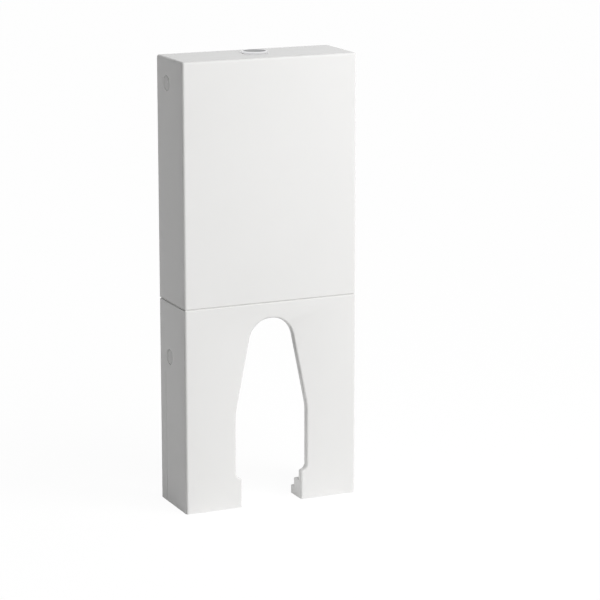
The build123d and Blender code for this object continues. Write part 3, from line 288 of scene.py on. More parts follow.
RED_SILICONE = Finish(
    "red_silicone", (0.3, 0.035, 0.02), (0.36, 0.05, 0.03), 50.0, (0.45, 0.6), 120.0,
    0.03 * MM, 900.0, 0.3, subsurface=0.1,
)
SPRING_STEEL = Finish(
    "spring_steel", (0.5, 0.5, 0.5), (0.6, 0.595, 0.58), 400.0, (0.2, 0.34), 500.0,
    0.01 * MM, 3000.0, 0.2, metallic=1.0, grain=Grain.DRAWN_Z,
)

SLOT_FINISH: dict[str, Finish] = {
    "glaze": GLAZE, "cap": CAP_PLASTIC, "steel": POWDER_COAT, "zinc": ZINC, "rubber": BLACK_RUBBER,
    "seal_grey": SEAL_STRIP, "tank": TANK_PLASTIC, "foam": FOAM, "chrome_plastic": CHROME,
    "valve_white": WHITE_MOULDING, "valve_blue": BLUE_MOULDING, "valve_grey": GREY_MOULDING,
    "red_rubber": RED_SILICONE, "spring_steel": SPRING_STEEL,
}


def shade(form: bmesh.types.BMesh, angle: float) -> None:
    """Smooths a form's faces and keeps its sharp edges crisp.

    Args:
        form: the form.
        angle: edges turned by more than this many degrees stay crisp.
    """
    for face in form.faces:
        face.smooth = True
    for line in form.edges:
        line.smooth = not (line.is_manifold and line.calc_face_angle(0.0) > math.radians(angle))


def finished(form: bmesh.types.BMesh, angle: float = SHAPE_CRISP_ANGLE) -> bpy.types.Mesh:
    """Makes a mesh of a form, with its normals outwards, smooth faces and crisp edges.

    Args:
        form: the form, which is freed.
        angle: edges turned by more than this many degrees stay crisp.

    Returns:
        The mesh.
    """
    bmesh.ops.recalc_face_normals(form, faces=form.faces)
    shade(form, angle)
    mesh = bpy.data.meshes.new("form")
    form.to_mesh(mesh)
    form.free()
    return mesh


class Shape(Protocol):
    """A small shape that can make its own mesh."""

    def mesh(self, finish: Finish) -> bpy.types.Mesh:
        """The shape's mesh in a finish."""


@dataclass
class Frame:
    """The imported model: its nodes, and the slot and body of each."""

    nodes: dict[str, bpy.types.Object]
    slots: dict[str, str]
    bodies: dict[str, str]

    @classmethod
    def load(cls) -> "Frame":
        """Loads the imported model.

        Returns:
            The frame with its nodes.
        """
        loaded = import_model()
        record = loaded["record"]
        groups = record["behaviour"]["bodies"]
        return cls(
            nodes=loaded["nodes"],
            slots={part["node"]: part["material_slot"] for part in record["subparts"]},
            bodies={node: body for body, members in groups.items() for node in members},
        )

    def dress(self) -> None:
        """Gives every CAD node the finish of its slot."""
        for name, node in self.nodes.items():
            node.data.materials.clear()
            node.data.materials.append(SLOT_FINISH[self.slots[name]].material())


@dataclass
class Assembly:
    """Common ground of the sub-assemblies: what they share in making pieces."""

    frame: Frame

    def add(
        self, name: str, mesh: bpy.types.Mesh, body: str, slot: str, finish: Finish | None = None
    ) -> bpy.types.Object:
        """Adds a finished mesh as a piece that rides on a body.

        Args:
            name: the piece's name.
            mesh: its mesh, in the shared frame.
            body: the body that it rides on.
            slot: the record's material slot.
            finish: its finish, where it isn't the one of the slot.

        Returns:
            The piece.
        """
        piece = bpy.data.objects.new(name, mesh)
        bpy.context.scene.collection.objects.link(piece)
        mesh.materials.clear()
        mesh.materials.append((finish or SLOT_FINISH[slot]).material())
        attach(piece, body)
        LOG.info("%s rides on %s", name, body)
        return piece

    def add_shape(self, name: str, shape: Shape, body: str, slot: str) -> bpy.types.Object:
        """Adds a small shape in the finish of a slot.

        Args:
            name: the piece's name.
            shape: the shape.
            body: the body that it rides on.
            slot: the record's material slot.

        Returns:
            The piece.
        """
        return self.add(name, shape.mesh(SLOT_FINISH[slot]), body, slot)

    def smooth_copy(self, node: str, name: str, edge: float, finish: Finish | None = None) -> None:
        """Adds a smoothly shaded copy of a CAD node, which then stands for it.

        Args:
            node: the CAD node.
            name: the piece's name.
            edge: width of the soft edges, in metres.
            finish: its finish, where it isn't the one of the node's slot.
        """
        mesh = self.frame.nodes[node].data.copy()
        form = bmesh.new()
        form.from_mesh(mesh)
        bmesh.ops.remove_doubles(form, verts=form.verts, dist=MERGE_DISTANCE)
        bmesh.ops.dissolve_limit(
            form, angle_limit=math.radians(FLAT_ANGLE), verts=form.verts, edges=form.edges,
            delimit=set(),
        )
        shade(form, NODE_CRISP_ANGLE)
        form.to_mesh(mesh)
        form.free()
        piece = self.add(name, mesh, self.frame.bodies[node], self.frame.slots[node], finish)
        soft = piece.modifiers.new("soft edge", "BEVEL")
        soft.width = edge
        soft.segments = EDGE_SEGMENTS
        soft.limit_method = "ANGLE"
        soft.angle_limit = math.radians(NODE_CRISP_ANGLE)
        soft.use_clamp_overlap = True
        soft.harden_normals = True
        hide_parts(node)


class Recipe:
    """A Geometry Nodes tree with named sizes, and the plain mesh that it makes."""

    def __init__(self, name: str, finish: Finish, sizes: dict[str, Size]) -> None:
        """Starts the tree with an input for each size.

        Args:
            name: the tree's name.
            finish: the finish of what it makes.
            sizes: each input's name and value.
        """
        self.name = name
        self.finish = finish
        self.sizes = sizes
        self.tree = bpy.data.node_groups.new(name, "GeometryNodeTree")
        kinds = {int: "NodeSocketInt", float: "NodeSocketFloat", tuple: "NodeSocketVector"}
        for label, value in sizes.items():
            self.tree.interface.new_socket(label, in_out="INPUT", socket_type=kinds[type(value)])
        self.tree.interface.new_socket("Form", in_out="OUTPUT", socket_type="NodeSocketGeometry")
        self.given = self.tree.nodes.new("NodeGroupInput")

    def size(self, label: str) -> bpy.types.NodeSocket:
        """The socket of a named size."""
        return self.given.outputs[label]

    def node(self, kind: str, inputs: dict[str, object], **settings: object) -> bpy.types.Node:
        """Adds a node.

        Args:
            kind: the node's type.
            inputs: a socket or a value for each of its inputs.
            settings: its other properties.

        Returns:
            The node.
        """
        made = self.tree.nodes.new(kind)
        for label, value in settings.items():
            setattr(made, label, value)
        for label, value in inputs.items():
            if isinstance(value, bpy.types.NodeSocket):
                self.tree.links.new(value, made.inputs[label])
            else:
                made.inputs[label].default_value = value
        return made

    def mesh(self, form: bpy.types.NodeSocket) -> bpy.types.Mesh:
        """Ends the tree and turns its result into a plain mesh.

        Args:
            form: the geometry that the tree has made.

        Returns:
            The mesh, with its faces outwards.
        """
        whole = self.node("GeometryNodeRealizeInstances", {"Geometry": form})
        painted = self.node(
            "GeometryNodeSetMaterial",
            {"Geometry": whole.outputs["Geometry"], "Material": self.finish.material()},
        )
        end = self.tree.nodes.new("NodeGroupOutput")
        self.tree.links.new(painted.outputs["Geometry"], end.inputs["Form"])
        carrier = bpy.data.objects.new(self.name, bpy.data.meshes.new(self.name))
        bpy.context.scene.collection.objects.link(carrier)
        modifier = carrier.modifiers.new(self.name, "NODES")
        modifier.node_group = self.tree
        for item in self.tree.interface.items_tree:
            if item.in_out == "INPUT":
                modifier[item.identifier] = self.sizes[item.name]
        seen = carrier.evaluated_get(bpy.context.evaluated_depsgraph_get())
        mesh = bpy.data.meshes.new_from_object(seen)
        carrier.modifiers.remove(modifier)
        bpy.data.objects.remove(carrier)
        plain = bmesh.new()
        plain.from_mesh(mesh)
        return finished(plain)


@dataclass(frozen=True)
class Helix:
    """A wire that climbs round a vertical axis: a coil spring, or the ridge of a thread."""

    name: str
    radius: float
    pitch: float
    height: float
    wire: float
    base: Triple
    steps: int
    sides: int = 3

    def mesh(self, finish: Finish) -> bpy.types.Mesh:
        """Winds the wire.

        Args:
            finish: the wire's finish.

        Returns:
            Its mesh.
        """
        recipe = Recipe(self.name, finish, {
            "Radius": self.radius, "Turns": self.height / self.pitch, "Height": self.height,
            "Wire radius": self.wire, "Base": self.base, "Sides": self.sides, "Steps": self.steps,
        })
        coil = recipe.node("GeometryNodeCurveSpiral", {
            "Resolution": recipe.size("Steps"), "Rotations": recipe.size("Turns"),
            "Start Radius": recipe.size("Radius"), "End Radius": recipe.size("Radius"),
            "Height": recipe.size("Height"),
        })
        placed = recipe.node("GeometryNodeTransform", {
            "Geometry": coil.outputs["Curve"], "Translation": recipe.size("Base"),
        })
        section = recipe.node("GeometryNodeCurvePrimitiveCircle", {
            "Resolution": recipe.size("Sides"), "Radius": recipe.size("Wire radius"),
        })
        wound = recipe.node("GeometryNodeCurveToMesh", {
            "Curve": placed.outputs["Geometry"], "Profile Curve": section.outputs["Curve"],
            "Fill Caps": True,
        })
        return recipe.mesh(wound.outputs["Mesh"])


@dataclass(frozen=True)
class RibRing:
    """Equal bars that stand round a vertical axis, turned by a phase in degrees."""

    name: str
    count: int
    radius: float
    bar: Triple
    centre: Triple
    phase: float = 0.0

    def mesh(self, finish: Finish) -> bpy.types.Mesh:
        """Sets the bars.

        Args:
            finish: the bars' finish.

        Returns:
            Their mesh.
        """
        recipe = Recipe(self.name, finish, {
            "Count": self.count, "Radius": self.radius, "Bar": self.bar, "Centre": self.centre,
            "Turn": (0.0, 0.0, math.radians(self.phase)),
        })
        ring = recipe.node("GeometryNodeCurvePrimitiveCircle", {
            "Resolution": recipe.size("Count"), "Radius": recipe.size("Radius"),
        })
        bar = recipe.node("GeometryNodeMeshCube", {"Size": recipe.size("Bar")})
        place = recipe.node("GeometryNodeInputPosition", {})
        outward = recipe.node(
            "FunctionNodeAlignRotationToVector", {"Vector": place.outputs["Position"]},
            axis="X", pivot_axis="Z",
        )
        bars = recipe.node("GeometryNodeInstanceOnPoints", {
            "Points": ring.outputs["Curve"], "Instance": bar.outputs["Mesh"],
            "Rotation": outward.outputs["Rotation"],
        })
        placed = recipe.node("GeometryNodeTransform", {
            "Geometry": bars.outputs["Instances"], "Translation": recipe.size("Centre"),
            "Rotation": recipe.size("Turn"),
        })
        return recipe.mesh(placed.outputs["Geometry"])


@dataclass(frozen=True)
class BarRow:
    """Equal bars in a row: ribs, grips, ticks or notches."""

    name: str
    count: int
    start: Triple
    step: Triple
    bar: Triple

    def mesh(self, finish: Finish) -> bpy.types.Mesh:
        """Sets the bars.

        Args:
            finish: the bars' finish.

        Returns:
            Their mesh.
        """
        recipe = Recipe(self.name, finish, {
            "Count": self.count, "Start": self.start, "Step": self.step, "Bar": self.bar,
        })
        line = recipe.node("GeometryNodeMeshLine", {
            "Count": recipe.size("Count"), "Start Location": recipe.size("Start"),
            "Offset": recipe.size("Step"),
        })
        bar = recipe.node("GeometryNodeMeshCube", {"Size": recipe.size("Bar")})
        bars = recipe.node("GeometryNodeInstanceOnPoints", {
            "Points": line.outputs["Mesh"], "Instance": bar.outputs["Mesh"],
        })
        return recipe.mesh(bars.outputs["Instances"])


@dataclass(frozen=True)
class WeldBead:
    """A rippled bead of weld: overlapping drops along a line."""

    name: str
    count: int
    start: Triple
    step: Triple
    drop: Triple
    seed: int
    spread: float = 0.12
    subdivisions: int = 2

    def mesh(self, finish: Finish) -> bpy.types.Mesh:
        """Lays the bead.

        Args:
            finish: the bead's finish.

        Returns:
            Its mesh.
        """
        recipe = Recipe(self.name, finish, {
            "Count": self.count, "Start": self.start, "Step": self.step, "Drop": self.drop,
            "Least": 1.0 - self.spread, "Most": 1.0 + self.spread, "Seed": self.seed,
        })
        line = recipe.node("GeometryNodeMeshLine", {
            "Count": recipe.size("Count"), "Start Location": recipe.size("Start"),
            "Offset": recipe.size("Step"),
        })
        drop = recipe.node(
            "GeometryNodeMeshIcoSphere", {"Radius": 1.0, "Subdivisions": self.subdivisions}
        )
        vary = recipe.node("FunctionNodeRandomValue", {"Seed": recipe.size("Seed")}, data_type="FLOAT")
        recipe.tree.links.new(recipe.size("Least"), vary.inputs[2])
        recipe.tree.links.new(recipe.size("Most"), vary.inputs[3])
        sized = recipe.node("ShaderNodeVectorMath", {"Vector": recipe.size("Drop")}, operation="SCALE")
        recipe.tree.links.new(vary.outputs[1], sized.inputs["Scale"])
        drops = recipe.node("GeometryNodeInstanceOnPoints", {
            "Points": line.outputs["Mesh"], "Instance": drop.outputs["Mesh"],
            "Scale": sized.outputs["Vector"],
        })
        return recipe.mesh(drops.outputs["Instances"])


@dataclass(frozen=True)
class PartingLine:
    """The thin line that a mould leaves round a box with round corners."""

    name: str
    size: tuple[float, float]
    corner: float
    thickness: float
    centre: Triple
    corner_steps: int = 8
    sides: int = 6

    def mesh(self, finish: Finish) -> bpy.types.Mesh:
        """Draws the line.

        Args:
            finish: the line's finish.

        Returns:
            Its mesh.
        """
        recipe = Recipe(self.name, finish, {
            "Width": self.size[0], "Depth": self.size[1], "Corner": self.corner,
            "Thickness": self.thickness, "Centre": self.centre,
        })
        outline = recipe.node("GeometryNodeCurvePrimitiveQuadrilateral", {
            "Width": recipe.size("Width"), "Height": recipe.size("Depth"),
        })
        rounded = recipe.node("GeometryNodeFilletCurve", {
            "Curve": outline.outputs["Curve"], "Radius": recipe.size("Corner"),
            "Count": self.corner_steps,
        }, mode="POLY")
        section = recipe.node("GeometryNodeCurvePrimitiveCircle", {
            "Resolution": self.sides, "Radius": recipe.size("Thickness"),
        })
        drawn = recipe.node("GeometryNodeCurveToMesh", {
            "Curve": rounded.outputs["Curve"], "Profile Curve": section.outputs["Curve"],
        })
        placed = recipe.node("GeometryNodeTransform", {
            "Geometry": drawn.outputs["Mesh"], "Translation": recipe.size("Centre"),
        })
        return recipe.mesh(placed.outputs["Geometry"])


@dataclass
class Casing(Assembly):
    """The two glazed casings with the caps of their screws."""

    edge: float = 0.7 * MM
    cap_edge: float = 0.35 * MM

    def build(self) -> None:
        """Makes the casings' pieces."""
        self.smooth_copy("upper_casing", "upper_glazed_casing", edge=self.edge)
        self.smooth_copy("lower_casing", "lower_glazed_casing", edge=self.edge)
        self.smooth_copy("left_caps", "left_cover_caps", edge=self.cap_edge)
        self.smooth_copy("right_caps", "right_cover_caps", edge=self.cap_edge)


@dataclass
class WallFrame(Assembly):
    """The welded steel frame with its screws, clips and pads."""

    sheet_edge: float = 0.35 * MM
    pad_edge: float = 0.6 * MM
    cross_end_x: float = 178.5 * MM
    joint_y: float = 48.7 * MM
    rail_weld_z: float = 896.5 * MM
    shelf_weld_z: float = 443.5 * MM
    bead_step: float = 1.7 * MM
    bead_drops: int = 20
    bead_crisp_angle: float = 80.0
    drop: Triple = (1.7 * MM, 1.5 * MM, 1.5 * MM)
    screw_y: float = 18.0 * MM
    screw_heights: tuple[float, float] = (329.0 * MM, 921.0 * MM)
    screw_tip_x: float = 172.1 * MM
    thread_length: float = 9.0 * MM
    thread_radius: float = 3.95 * MM
    thread_pitch: float = 1.4 * MM
    thread_ridge: float = 0.35 * MM
    thread_steps: int = 20

    def build(self) -> None:
        """Makes the frame's pieces."""
        for node, name in (
            ("left_upright", "left_folded_upright"), ("right_upright", "right_folded_upright"),
            ("top_rail", "folded_top_rail"), ("tank_shelf", "folded_tank_shelf"),
            ("tank_clips", "bent_tank_clips"), ("casing_screws", "casing_fixing_screws"),
        ):
            self.smooth_copy(node, name, edge=self.sheet_edge)
        self.smooth_copy("casing_pads", "casing_rest_pads", edge=self.pad_edge)
        self.smooth_copy("shelf_pads", "tank_rest_pads", edge=self.pad_edge)
        self._weld_cross_members()
        self._cut_screw_threads()

    def _weld_cross_members(self) -> None:
        """Lays a bead along each end of the rail and of the shelf's leg."""
        form = bmesh.new()
        for side in (-1, 1):
            for z in (self.rail_weld_z, self.shelf_weld_z):
                bead = WeldBead(
                    "weld_bead", self.bead_drops, (side * self.cross_end_x, self.joint_y, z),
                    (0.0, 0.0, self.bead_step), self.drop, seed=int(z / MM) + side,
                )
                form.from_mesh(bead.mesh(POWDER_COAT))
        self.add("frame_weld_beads", finished(form, self.bead_crisp_angle), ROOT, "steel")

    def _cut_screw_threads(self) -> None:
        """Winds the thread's ridge on the inner end of each casing screw."""
        ridge = Helix(
            "screw_thread", self.thread_radius, self.thread_pitch, self.thread_length,
            self.thread_ridge, (0.0, 0.0, 0.0), self.thread_steps,
        ).mesh(ZINC)
        form = bmesh.new()
        for side in (-1, 1):
            for z in self.screw_heights:
                lying = ridge.copy()
                lying.transform(
                    Matrix.Translation((side * self.screw_tip_x, self.screw_y, z))
                    @ Matrix.Rotation(side * math.pi / 2, 4, "Y")
                )
                form.from_mesh(lying)
        self.add("casing_screw_threads", finished(form), ROOT, "zinc")


@dataclass
class Tank(Assembly):
    """The moulded tank with its lid and foam jacket."""

    shell_edge: float = 0.5 * MM
    foam_edge: float = 1.3 * MM
    size: tuple[float, float] = (292.0 * MM, 106.0 * MM)
    corner: float = 16.0 * MM
    parting_thickness: float = 0.4 * MM
    parting_centre: Triple = (0.0, 9.0 * MM, 704.0 * MM)
    grip_x: float = 84.0 * MM
    grip_y: float = 9.0 * MM
    grip_z: float = 883.4 * MM
    grip_count: int = 5
    grip_step: float = 3.6 * MM
    grip_bar: Triple = (1.4 * MM, 36.0 * MM, 1.2 * MM)

    def build(self) -> None:
        """Makes the tank's pieces."""
        self.smooth_copy("tank_body", "moulded_tank", edge=self.shell_edge)
        self.smooth_copy("tank_lid", "moulded_tank_lid", edge=self.shell_edge)
        self.smooth_copy("tank_jacket", "foam_tank_jacket", edge=self.foam_edge)
        line = PartingLine(
            "parting_line", self.size, self.corner, self.parting_thickness, self.parting_centre
        )
        self.add_shape("tank_parting_line", line, ROOT, "tank")
        form = bmesh.new()
        for side in (-1, 1):
            first = side * self.grip_x - (self.grip_count - 1) * self.grip_step / 2
            grips = BarRow(
                "lid_grip", self.grip_count, (first, self.grip_y, self.grip_z),
                (self.grip_step, 0.0, 0.0), self.grip_bar,
            )
            form.from_mesh(grips.mesh(TANK_PLASTIC))
        self.add("tank_lid_grips", finished(form), ROOT, "tank")


@dataclass
class PushButton(Assembly):
    """The dual push button with its ring, sleeve, rods and springs."""

    axis: tuple[float, float] = (0.0, 15.0 * MM)
    ring_edge: float = 0.45 * MM
    key_edge: float = 0.5 * MM
    nut_edge: float = 0.6 * MM
    rod_edge: float = 0.3 * MM
    rods: tuple[tuple[str, float, float], ...] = (
        ("half_flush", -7.0 * MM, 2.0 * MM), ("full_flush", 7.0 * MM, 28.0 * MM),
    )
    spring_base: float = 943.3 * MM
    spring_length: float = 19.7 * MM
    spring_radius: float = 5.2 * MM
    spring_wire: float = 0.5 * MM
    spring_pitch: float = 2.9 * MM
    spring_steps: int = 32
    spring_sides: int = 8
    travel: float = 6.0 * MM
    thread_radius: float = 26.0 * MM
    thread_base: float = 941.2 * MM
    thread_length: float = 9.4 * MM
    thread_pitch: float = 2.2 * MM
    thread_ridge: float = 0.5 * MM
    thread_steps: int = 72
    notch_base: float = 842.0 * MM
    notch_step: float = 6.0 * MM
    notch_count: int = 15
    notch_reach: float = 2.65 * MM
    notch: Triple = (3.4 * MM, 0.35 * MM, 1.0 * MM)

    def build(self) -> None:
        """Makes the button's pieces."""
        self.smooth_copy("button_bezel", "chromed_button_ring", edge=self.ring_edge)
        self.smooth_copy("button_nut", "button_clamp_nut", edge=self.nut_edge)
        thread = Helix(
            "sleeve_thread", self.thread_radius, self.thread_pitch, self.thread_length,
            self.thread_ridge, (*self.axis, self.thread_base), self.thread_steps,
        )
        self.add_shape("button_sleeve_thread", thread, ROOT, "chrome_plastic")
        for flush, x, y in self.rods:
            self.smooth_copy(f"{flush}_button", f"{flush}_key", self.key_edge, SATIN_CHROME)
            self.smooth_copy(f"{flush}_rod", f"{flush}_push_rod", edge=self.rod_edge)
            self._cut_rod_notches(flush, x, y)
            self._wind_spring(flush, x, y)

    def _cut_rod_notches(self, flush: str, x: float, y: float) -> None:
        """Marks the lengths at which a fitter trims the rod.

        Args:
            flush: which flush the rod is for.
            x: the rod's place in X.
            y: the rod's place in Y.
        """
        notches = BarRow(
            f"{flush}_notch", self.notch_count, (x, y - self.notch_reach, self.notch_base),
            (0.0, 0.0, self.notch_step), self.notch,
        )
        self.add_shape(f"{flush}_rod_notches", notches, f"{flush}_button", "valve_white")

    def _wind_spring(self, flush: str, x: float, y: float) -> None:
        """Winds the return spring.

        Args:
            flush: which flush the spring is for.
            x: the spring's place in X.
            y: the spring's place in Y.
        """
        coil = Helix(
            f"{flush}_coil", self.spring_radius, self.spring_pitch,
            self.spring_length - 2 * self.spring_wire, self.spring_wire,
            (x, y, self.spring_base + self.spring_wire), self.spring_steps, self.spring_sides,
        )
        spring = self.add_shape(f"{flush}_coil_spring", coil, ROOT, "spring_steel")
        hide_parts(f"{flush}_spring")
        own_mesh(spring)


@dataclass
class FlushValve(Assembly):
    """The flush valve: base, seal, cage, spindle, float, levers and the nut that holds it."""

    axis: tuple[float, float] = (0.0, 15.0 * MM)
    edge: float = 0.35 * MM
    strainer_count: int = 40
    strainer_radius: float = 32.8 * MM
    strainer_bar: Triple = (1.7 * MM, 1.5 * MM, 47.0 * MM)
    strainer_z: float = 537.2 * MM
    strainer_phase: float = 4.5
    column_rib_count: int = 4
    column_rib_radius: float = 15.6 * MM
    column_rib: Triple = (2.6 * MM, 1.8 * MM, 116.0 * MM)
    column_rib_z: float = 678.0 * MM
    column_rib_phase: float = 45.0
    nut_lug_count: int = 8
    nut_lug_radius: float = 29.4 * MM
    nut_lug: Triple = (3.4 * MM, 6.0 * MM, 11.0 * MM)
    nut_lug_z: float = 482.0 * MM
    tick_count: int = 5
    tick_start: Triple = (-4.0 * MM, 3.6 * MM, 773.4 * MM)
    tick_step: float = 3.4 * MM
    tick: Triple = (5.0 * MM, 0.9 * MM, 0.7 * MM)

    def build(self) -> None:
        """Makes the flush valve's pieces."""
        for node, name in (
            ("valve_base", "flush_valve_base"), ("valve_cage", "flush_valve_cage"),
            ("valve_spindle", "overflow_spindle"), ("valve_seal", "flush_seal_disc"),
            ("half_flush_float", "half_flush_ring_float"), ("lever_pin", "lever_pivot_pin"),
            ("half_flush_lever", "half_flush_rocker"), ("full_flush_lever", "full_flush_rocker"),
            ("outlet_nut", "outlet_clamp_nut"), ("outlet_gasket", "outlet_sealing_ring"),
        ):
            self.smooth_copy(node, name, edge=self.edge)
        strainer = RibRing(
            "strainer", self.strainer_count, self.strainer_radius, self.strainer_bar,
            (*self.axis, self.strainer_z), self.strainer_phase,
        )
        self.add_shape("cage_strainer_bars", strainer, ROOT, "valve_blue")
        ribs = RibRing(
            "column_rib", self.column_rib_count, self.column_rib_radius, self.column_rib,
            (*self.axis, self.column_rib_z), self.column_rib_phase,
        )
        self.add_shape("cage_column_ribs", ribs, ROOT, "valve_blue")
        lugs = RibRing(
            "nut_lug", self.nut_lug_count, self.nut_lug_radius, self.nut_lug,
            (*self.axis, self.nut_lug_z),
        )
        self.add_shape("outlet_nut_lugs", lugs, ROOT, "valve_grey")
        ticks = BarRow(
            "overflow_tick", self.tick_count, self.tick_start, (0.0, 0.0, self.tick_step), self.tick
        )
        self.add_shape("overflow_level_ticks", ticks, "valve_spindle", "valve_white")


@dataclass
class FillValve(Assembly):
    """The fill valve: body, float, lever, outlet tube and the nut that holds it."""

    axis: tuple[float, float] = (-88.0 * MM, 9.0 * MM)
    edge: float = 0.35 * MM
    float_edge: float = 0.8 * MM
    thread_radius: float = 8.2 * MM
    thread_base: float = 444.6 * MM
    thread_length: float = 34.0 * MM
    thread_pitch: float = 1.34 * MM
    thread_ridge: float = 0.42 * MM
    thread_steps: int = 36
    cap_rib_count: int = 30
    cap_rib_radius: float = 17.0 * MM
    cap_rib: Triple = (0.8 * MM, 1.2 * MM, 7.0 * MM)
    cap_rib_z: float = 824.0 * MM
    float_rib_count: int = 7
    float_rib_start: Triple = (-112.0 * MM, -28.1 * MM, 721.0 * MM)
    float_rib_step: float = 8.0 * MM
    float_rib: Triple = (1.6 * MM, 1.0 * MM, 52.0 * MM)

    def build(self) -> None:
        """Makes the fill valve's pieces."""
        for node, name in (
            ("fill_valve_body", "fill_valve_housing"), ("fill_gasket", "fill_sealing_ring"),
            ("fill_nut", "fill_clamp_nut"), ("float_lever_pin", "float_pivot_pin"),
            ("float_lever", "float_rocker"), ("fill_outlet_tube", "fill_down_tube"),
        ):
            self.smooth_copy(node, name, edge=self.edge)
        self.smooth_copy("float_cup", "fill_float_cup", edge=self.float_edge)
        thread = Helix(
            "shank_thread", self.thread_radius, self.thread_pitch, self.thread_length,
            self.thread_ridge, (*self.axis, self.thread_base), self.thread_steps,
        )
        self.add_shape("fill_shank_thread", thread, ROOT, "valve_white")
        grips = RibRing(
            "cap_rib", self.cap_rib_count, self.cap_rib_radius, self.cap_rib,
            (*self.axis, self.cap_rib_z),
        )
        self.add_shape("fill_cap_grips", grips, ROOT, "valve_white")
        ribs = BarRow(
            "float_rib", self.float_rib_count, self.float_rib_start,
            (self.float_rib_step, 0.0, 0.0), self.float_rib,
        )
        self.add_shape("fill_float_ribs", ribs, "float_cup", "valve_blue")


class LampKind(Enum):
    """The studio's kinds of lamp, by Blender's names."""

    SUN = "SUN"
    AREA = "AREA"


@dataclass(frozen=True)
class Lamp:
    """A lamp of the studio, hung some way off the point that it is aimed at.

    A sun's power is in watts per square metre and its size in radians. An area lamp's are in watts
    and metres.
    """

    name: str
    kind: LampKind
    towards: Triple
    power: float
    size: float
    distance: float = 4.0
    aim: Triple = (0.0, 0.0, 0.55)


def grey(tone: float) -> tuple[float, float, float, float]:
    """A grey as red, green, blue and opacity."""
    return (tone, tone, tone, 1.0)


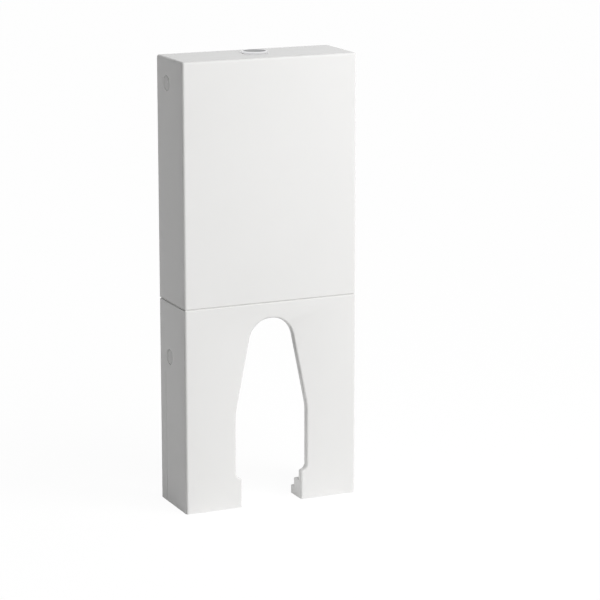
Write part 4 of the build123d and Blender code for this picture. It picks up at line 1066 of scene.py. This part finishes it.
@dataclass
class Studio:
    """A plain pale studio with soft light, and the camera at the photograph's angle."""

    camera_place: Triple = (-2.139, -4.919, 1.666)
    camera_forward: Triple = (0.40376, 0.88728, -0.22298)
    lens: float = 152.5
    sensor_width: float = 36.0
    ambient: float = 0.085
    ambient_colour: tuple[float, float, float, float] = (1.0, 0.99, 0.97, 1.0)
    lamps: tuple[Lamp, ...] = (
        Lamp("key", LampKind.SUN, (0.4, -0.76, 0.5), 2.2, 1.2),
        Lamp("corner", LampKind.AREA, (0.62, -0.7, 0.62), 9.0, 0.9, 2.0),
        Lamp(
            "foot_bounce", LampKind.AREA, (-1.0, -0.1, 0.2), 0.035, 0.09, 0.12, (0.06, -0.03, 0.05)
        ),
        Lamp(
            "arch_bounce", LampKind.AREA, (-1.0, -0.1, 0.0), 0.025, 0.09, 0.12, (0.06, -0.03, 0.2)
        ),
    )
    floor_half: float = 30.0
    floor_tone: float = 0.75
    floor_seen_tone: float = 0.08
    floor_glow: float = 0.955
    card_centre: Triple = (1.25, 2.75, 1.7)
    card_size: tuple[float, float] = (3.2, 1.3)
    card_tone: float = 0.88

    def build(self) -> None:
        """Makes the floor, the lights, the world and the camera."""
        self._make_world()
        self._make_floor()
        self._make_card()
        for lamp in self.lamps:
            self._add_lamp(lamp)
        self._make_camera()

    def _plain_ray(self, tree: bpy.types.NodeTree) -> bpy.types.NodeSocket:
        """One on camera, glossy and transmission rays, and zero on the others.

        Args:
            tree: the node tree that needs it.

        Returns:
            The socket with the value.
        """
        path = tree.nodes.new("ShaderNodeLightPath")
        value = path.outputs["Is Camera Ray"]
        for name in ("Is Glossy Ray", "Is Transmission Ray"):
            larger = tree.nodes.new("ShaderNodeMath")
            larger.operation = "MAXIMUM"
            tree.links.new(value, larger.inputs[0])
            tree.links.new(path.outputs[name], larger.inputs[1])
            value = larger.outputs["Value"]
        return value

    def _make_world(self) -> None:
        """White to the eye, and a soft even light on the object."""
        world = bpy.data.worlds.new("studio")
        bpy.context.scene.world = world
        world.use_nodes = True
        tree = world.node_tree
        tree.nodes.clear()
        seen = tree.nodes.new("ShaderNodeBackground")
        seen.inputs["Color"].default_value = grey(1.0)
        soft = tree.nodes.new("ShaderNodeBackground")
        soft.inputs["Color"].default_value = self.ambient_colour
        soft.inputs["Strength"].default_value = self.ambient
        mixed = tree.nodes.new("ShaderNodeMixShader")
        out = tree.nodes.new("ShaderNodeOutputWorld")
        tree.links.new(self._plain_ray(tree), mixed.inputs["Fac"])
        tree.links.new(soft.outputs["Background"], mixed.inputs[1])
        tree.links.new(seen.outputs["Background"], mixed.inputs[2])
        tree.links.new(mixed.outputs["Shader"], out.inputs["Surface"])

    def _add_sheet(
        self, name: str, width: float, height: float, upright: bool
    ) -> tuple[bpy.types.Object, bpy.types.NodeTree]:
        """Adds a flat sheet about the origin.

        Args:
            name: the sheet's name.
            width: its size along X.
            height: its size along Z if it is upright, or else along Y.
            upright: stands it up.

        Returns:
            The sheet, and the empty node tree of its material.
        """
        form = bmesh.new()
        places = ((-width, -height), (width, -height), (width, height), (-width, height))
        form.faces.new([
            form.verts.new((x / 2, 0.0, across / 2) if upright else (x / 2, across / 2, 0.0))
            for x, across in places
        ])
        mesh = bpy.data.meshes.new(name)
        form.to_mesh(mesh)
        form.free()
        sheet = bpy.data.objects.new(name, mesh)
        bpy.context.scene.collection.objects.link(sheet)
        material = bpy.data.materials.new(name)
        material.use_nodes = True
        material.node_tree.nodes.clear()
        mesh.materials.append(material)
        return sheet, material.node_tree

    def _make_floor(self) -> None:
        """A floor that lights the object as a pale one, and looks white with a faint shadow."""
        floor, tree = self._add_sheet("studio_floor", 2 * self.floor_half, 2 * self.floor_half, False)
        plain = tree.nodes.new("ShaderNodeBsdfDiffuse")
        plain.inputs["Color"].default_value = grey(self.floor_tone)
        shaded = tree.nodes.new("ShaderNodeBsdfDiffuse")
        shaded.inputs["Color"].default_value = grey(self.floor_seen_tone)
        bright = tree.nodes.new("ShaderNodeEmission")
        bright.inputs["Strength"].default_value = self.floor_glow
        seen = tree.nodes.new("ShaderNodeAddShader")
        tree.links.new(shaded.outputs["BSDF"], seen.inputs[0])
        tree.links.new(bright.outputs["Emission"], seen.inputs[1])
        mixed = tree.nodes.new("ShaderNodeMixShader")
        out = tree.nodes.new("ShaderNodeOutputMaterial")
        tree.links.new(self._plain_ray(tree), mixed.inputs["Fac"])
        tree.links.new(plain.outputs["BSDF"], mixed.inputs[1])
        tree.links.new(seen.outputs["Shader"], mixed.inputs[2])
        tree.links.new(mixed.outputs["Shader"], out.inputs["Surface"])

    def _make_card(self) -> None:
        """A pale card behind the object, which only reflections see, so that metal reads as metal."""
        card, tree = self._add_sheet("studio_card", *self.card_size, True)
        card.location = self.card_centre
        card.rotation_euler = (0.0, 0.0, math.atan2(-self.card_centre[0], self.card_centre[1]))
        tone = tree.nodes.new("ShaderNodeEmission")
        tone.inputs["Strength"].default_value = self.card_tone
        out = tree.nodes.new("ShaderNodeOutputMaterial")
        tree.links.new(tone.outputs["Emission"], out.inputs["Surface"])
        card.visible_camera = False
        card.visible_diffuse = False
        card.visible_shadow = False

    def _add_lamp(self, lamp: Lamp) -> None:
        """Hangs a lamp.

        Args:
            lamp: its kind, direction, power and size.
        """
        data = bpy.data.lights.new(lamp.name, lamp.kind.value)
        data.energy = lamp.power
        if lamp.kind is LampKind.SUN:
            data.angle = lamp.size
        else:
            data.shape = "DISK"
            data.size = lamp.size
        hung = bpy.data.objects.new(lamp.name, data)
        bpy.context.scene.collection.objects.link(hung)
        hung.visible_camera = False
        hung.visible_glossy = False
        towards = Vector(lamp.towards).normalized()
        hung.location = Vector(lamp.aim) + towards * lamp.distance
        hung.rotation_mode = "QUATERNION"
        hung.rotation_quaternion = (-towards).to_track_quat("-Z", "Y")

    def _make_camera(self) -> None:
        """The camera at the photograph's angle."""
        data = bpy.data.cameras.new("camera")
        data.lens = self.lens
        data.sensor_width = self.sensor_width
        camera = bpy.data.objects.new("camera", data)
        bpy.context.scene.collection.objects.link(camera)
        camera.location = self.camera_place
        camera.rotation_mode = "QUATERNION"
        camera.rotation_quaternion = Vector(self.camera_forward).to_track_quat("-Z", "Y")
        bpy.context.scene.camera = camera


def main() -> None:
    """Builds the dressed cistern."""
    logging.basicConfig(level=logging.INFO, format="%(name)s: %(message)s")
    frame = Frame.load()
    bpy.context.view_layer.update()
    bpy.context.scene.view_settings.view_transform = "Standard"
    Studio().build()
    frame.dress()
    for assembly in (Casing, WallFrame, Tank, PushButton, FlushValve, FillValve):
        assembly(frame).build()


if __name__ == "__main__":
    main()
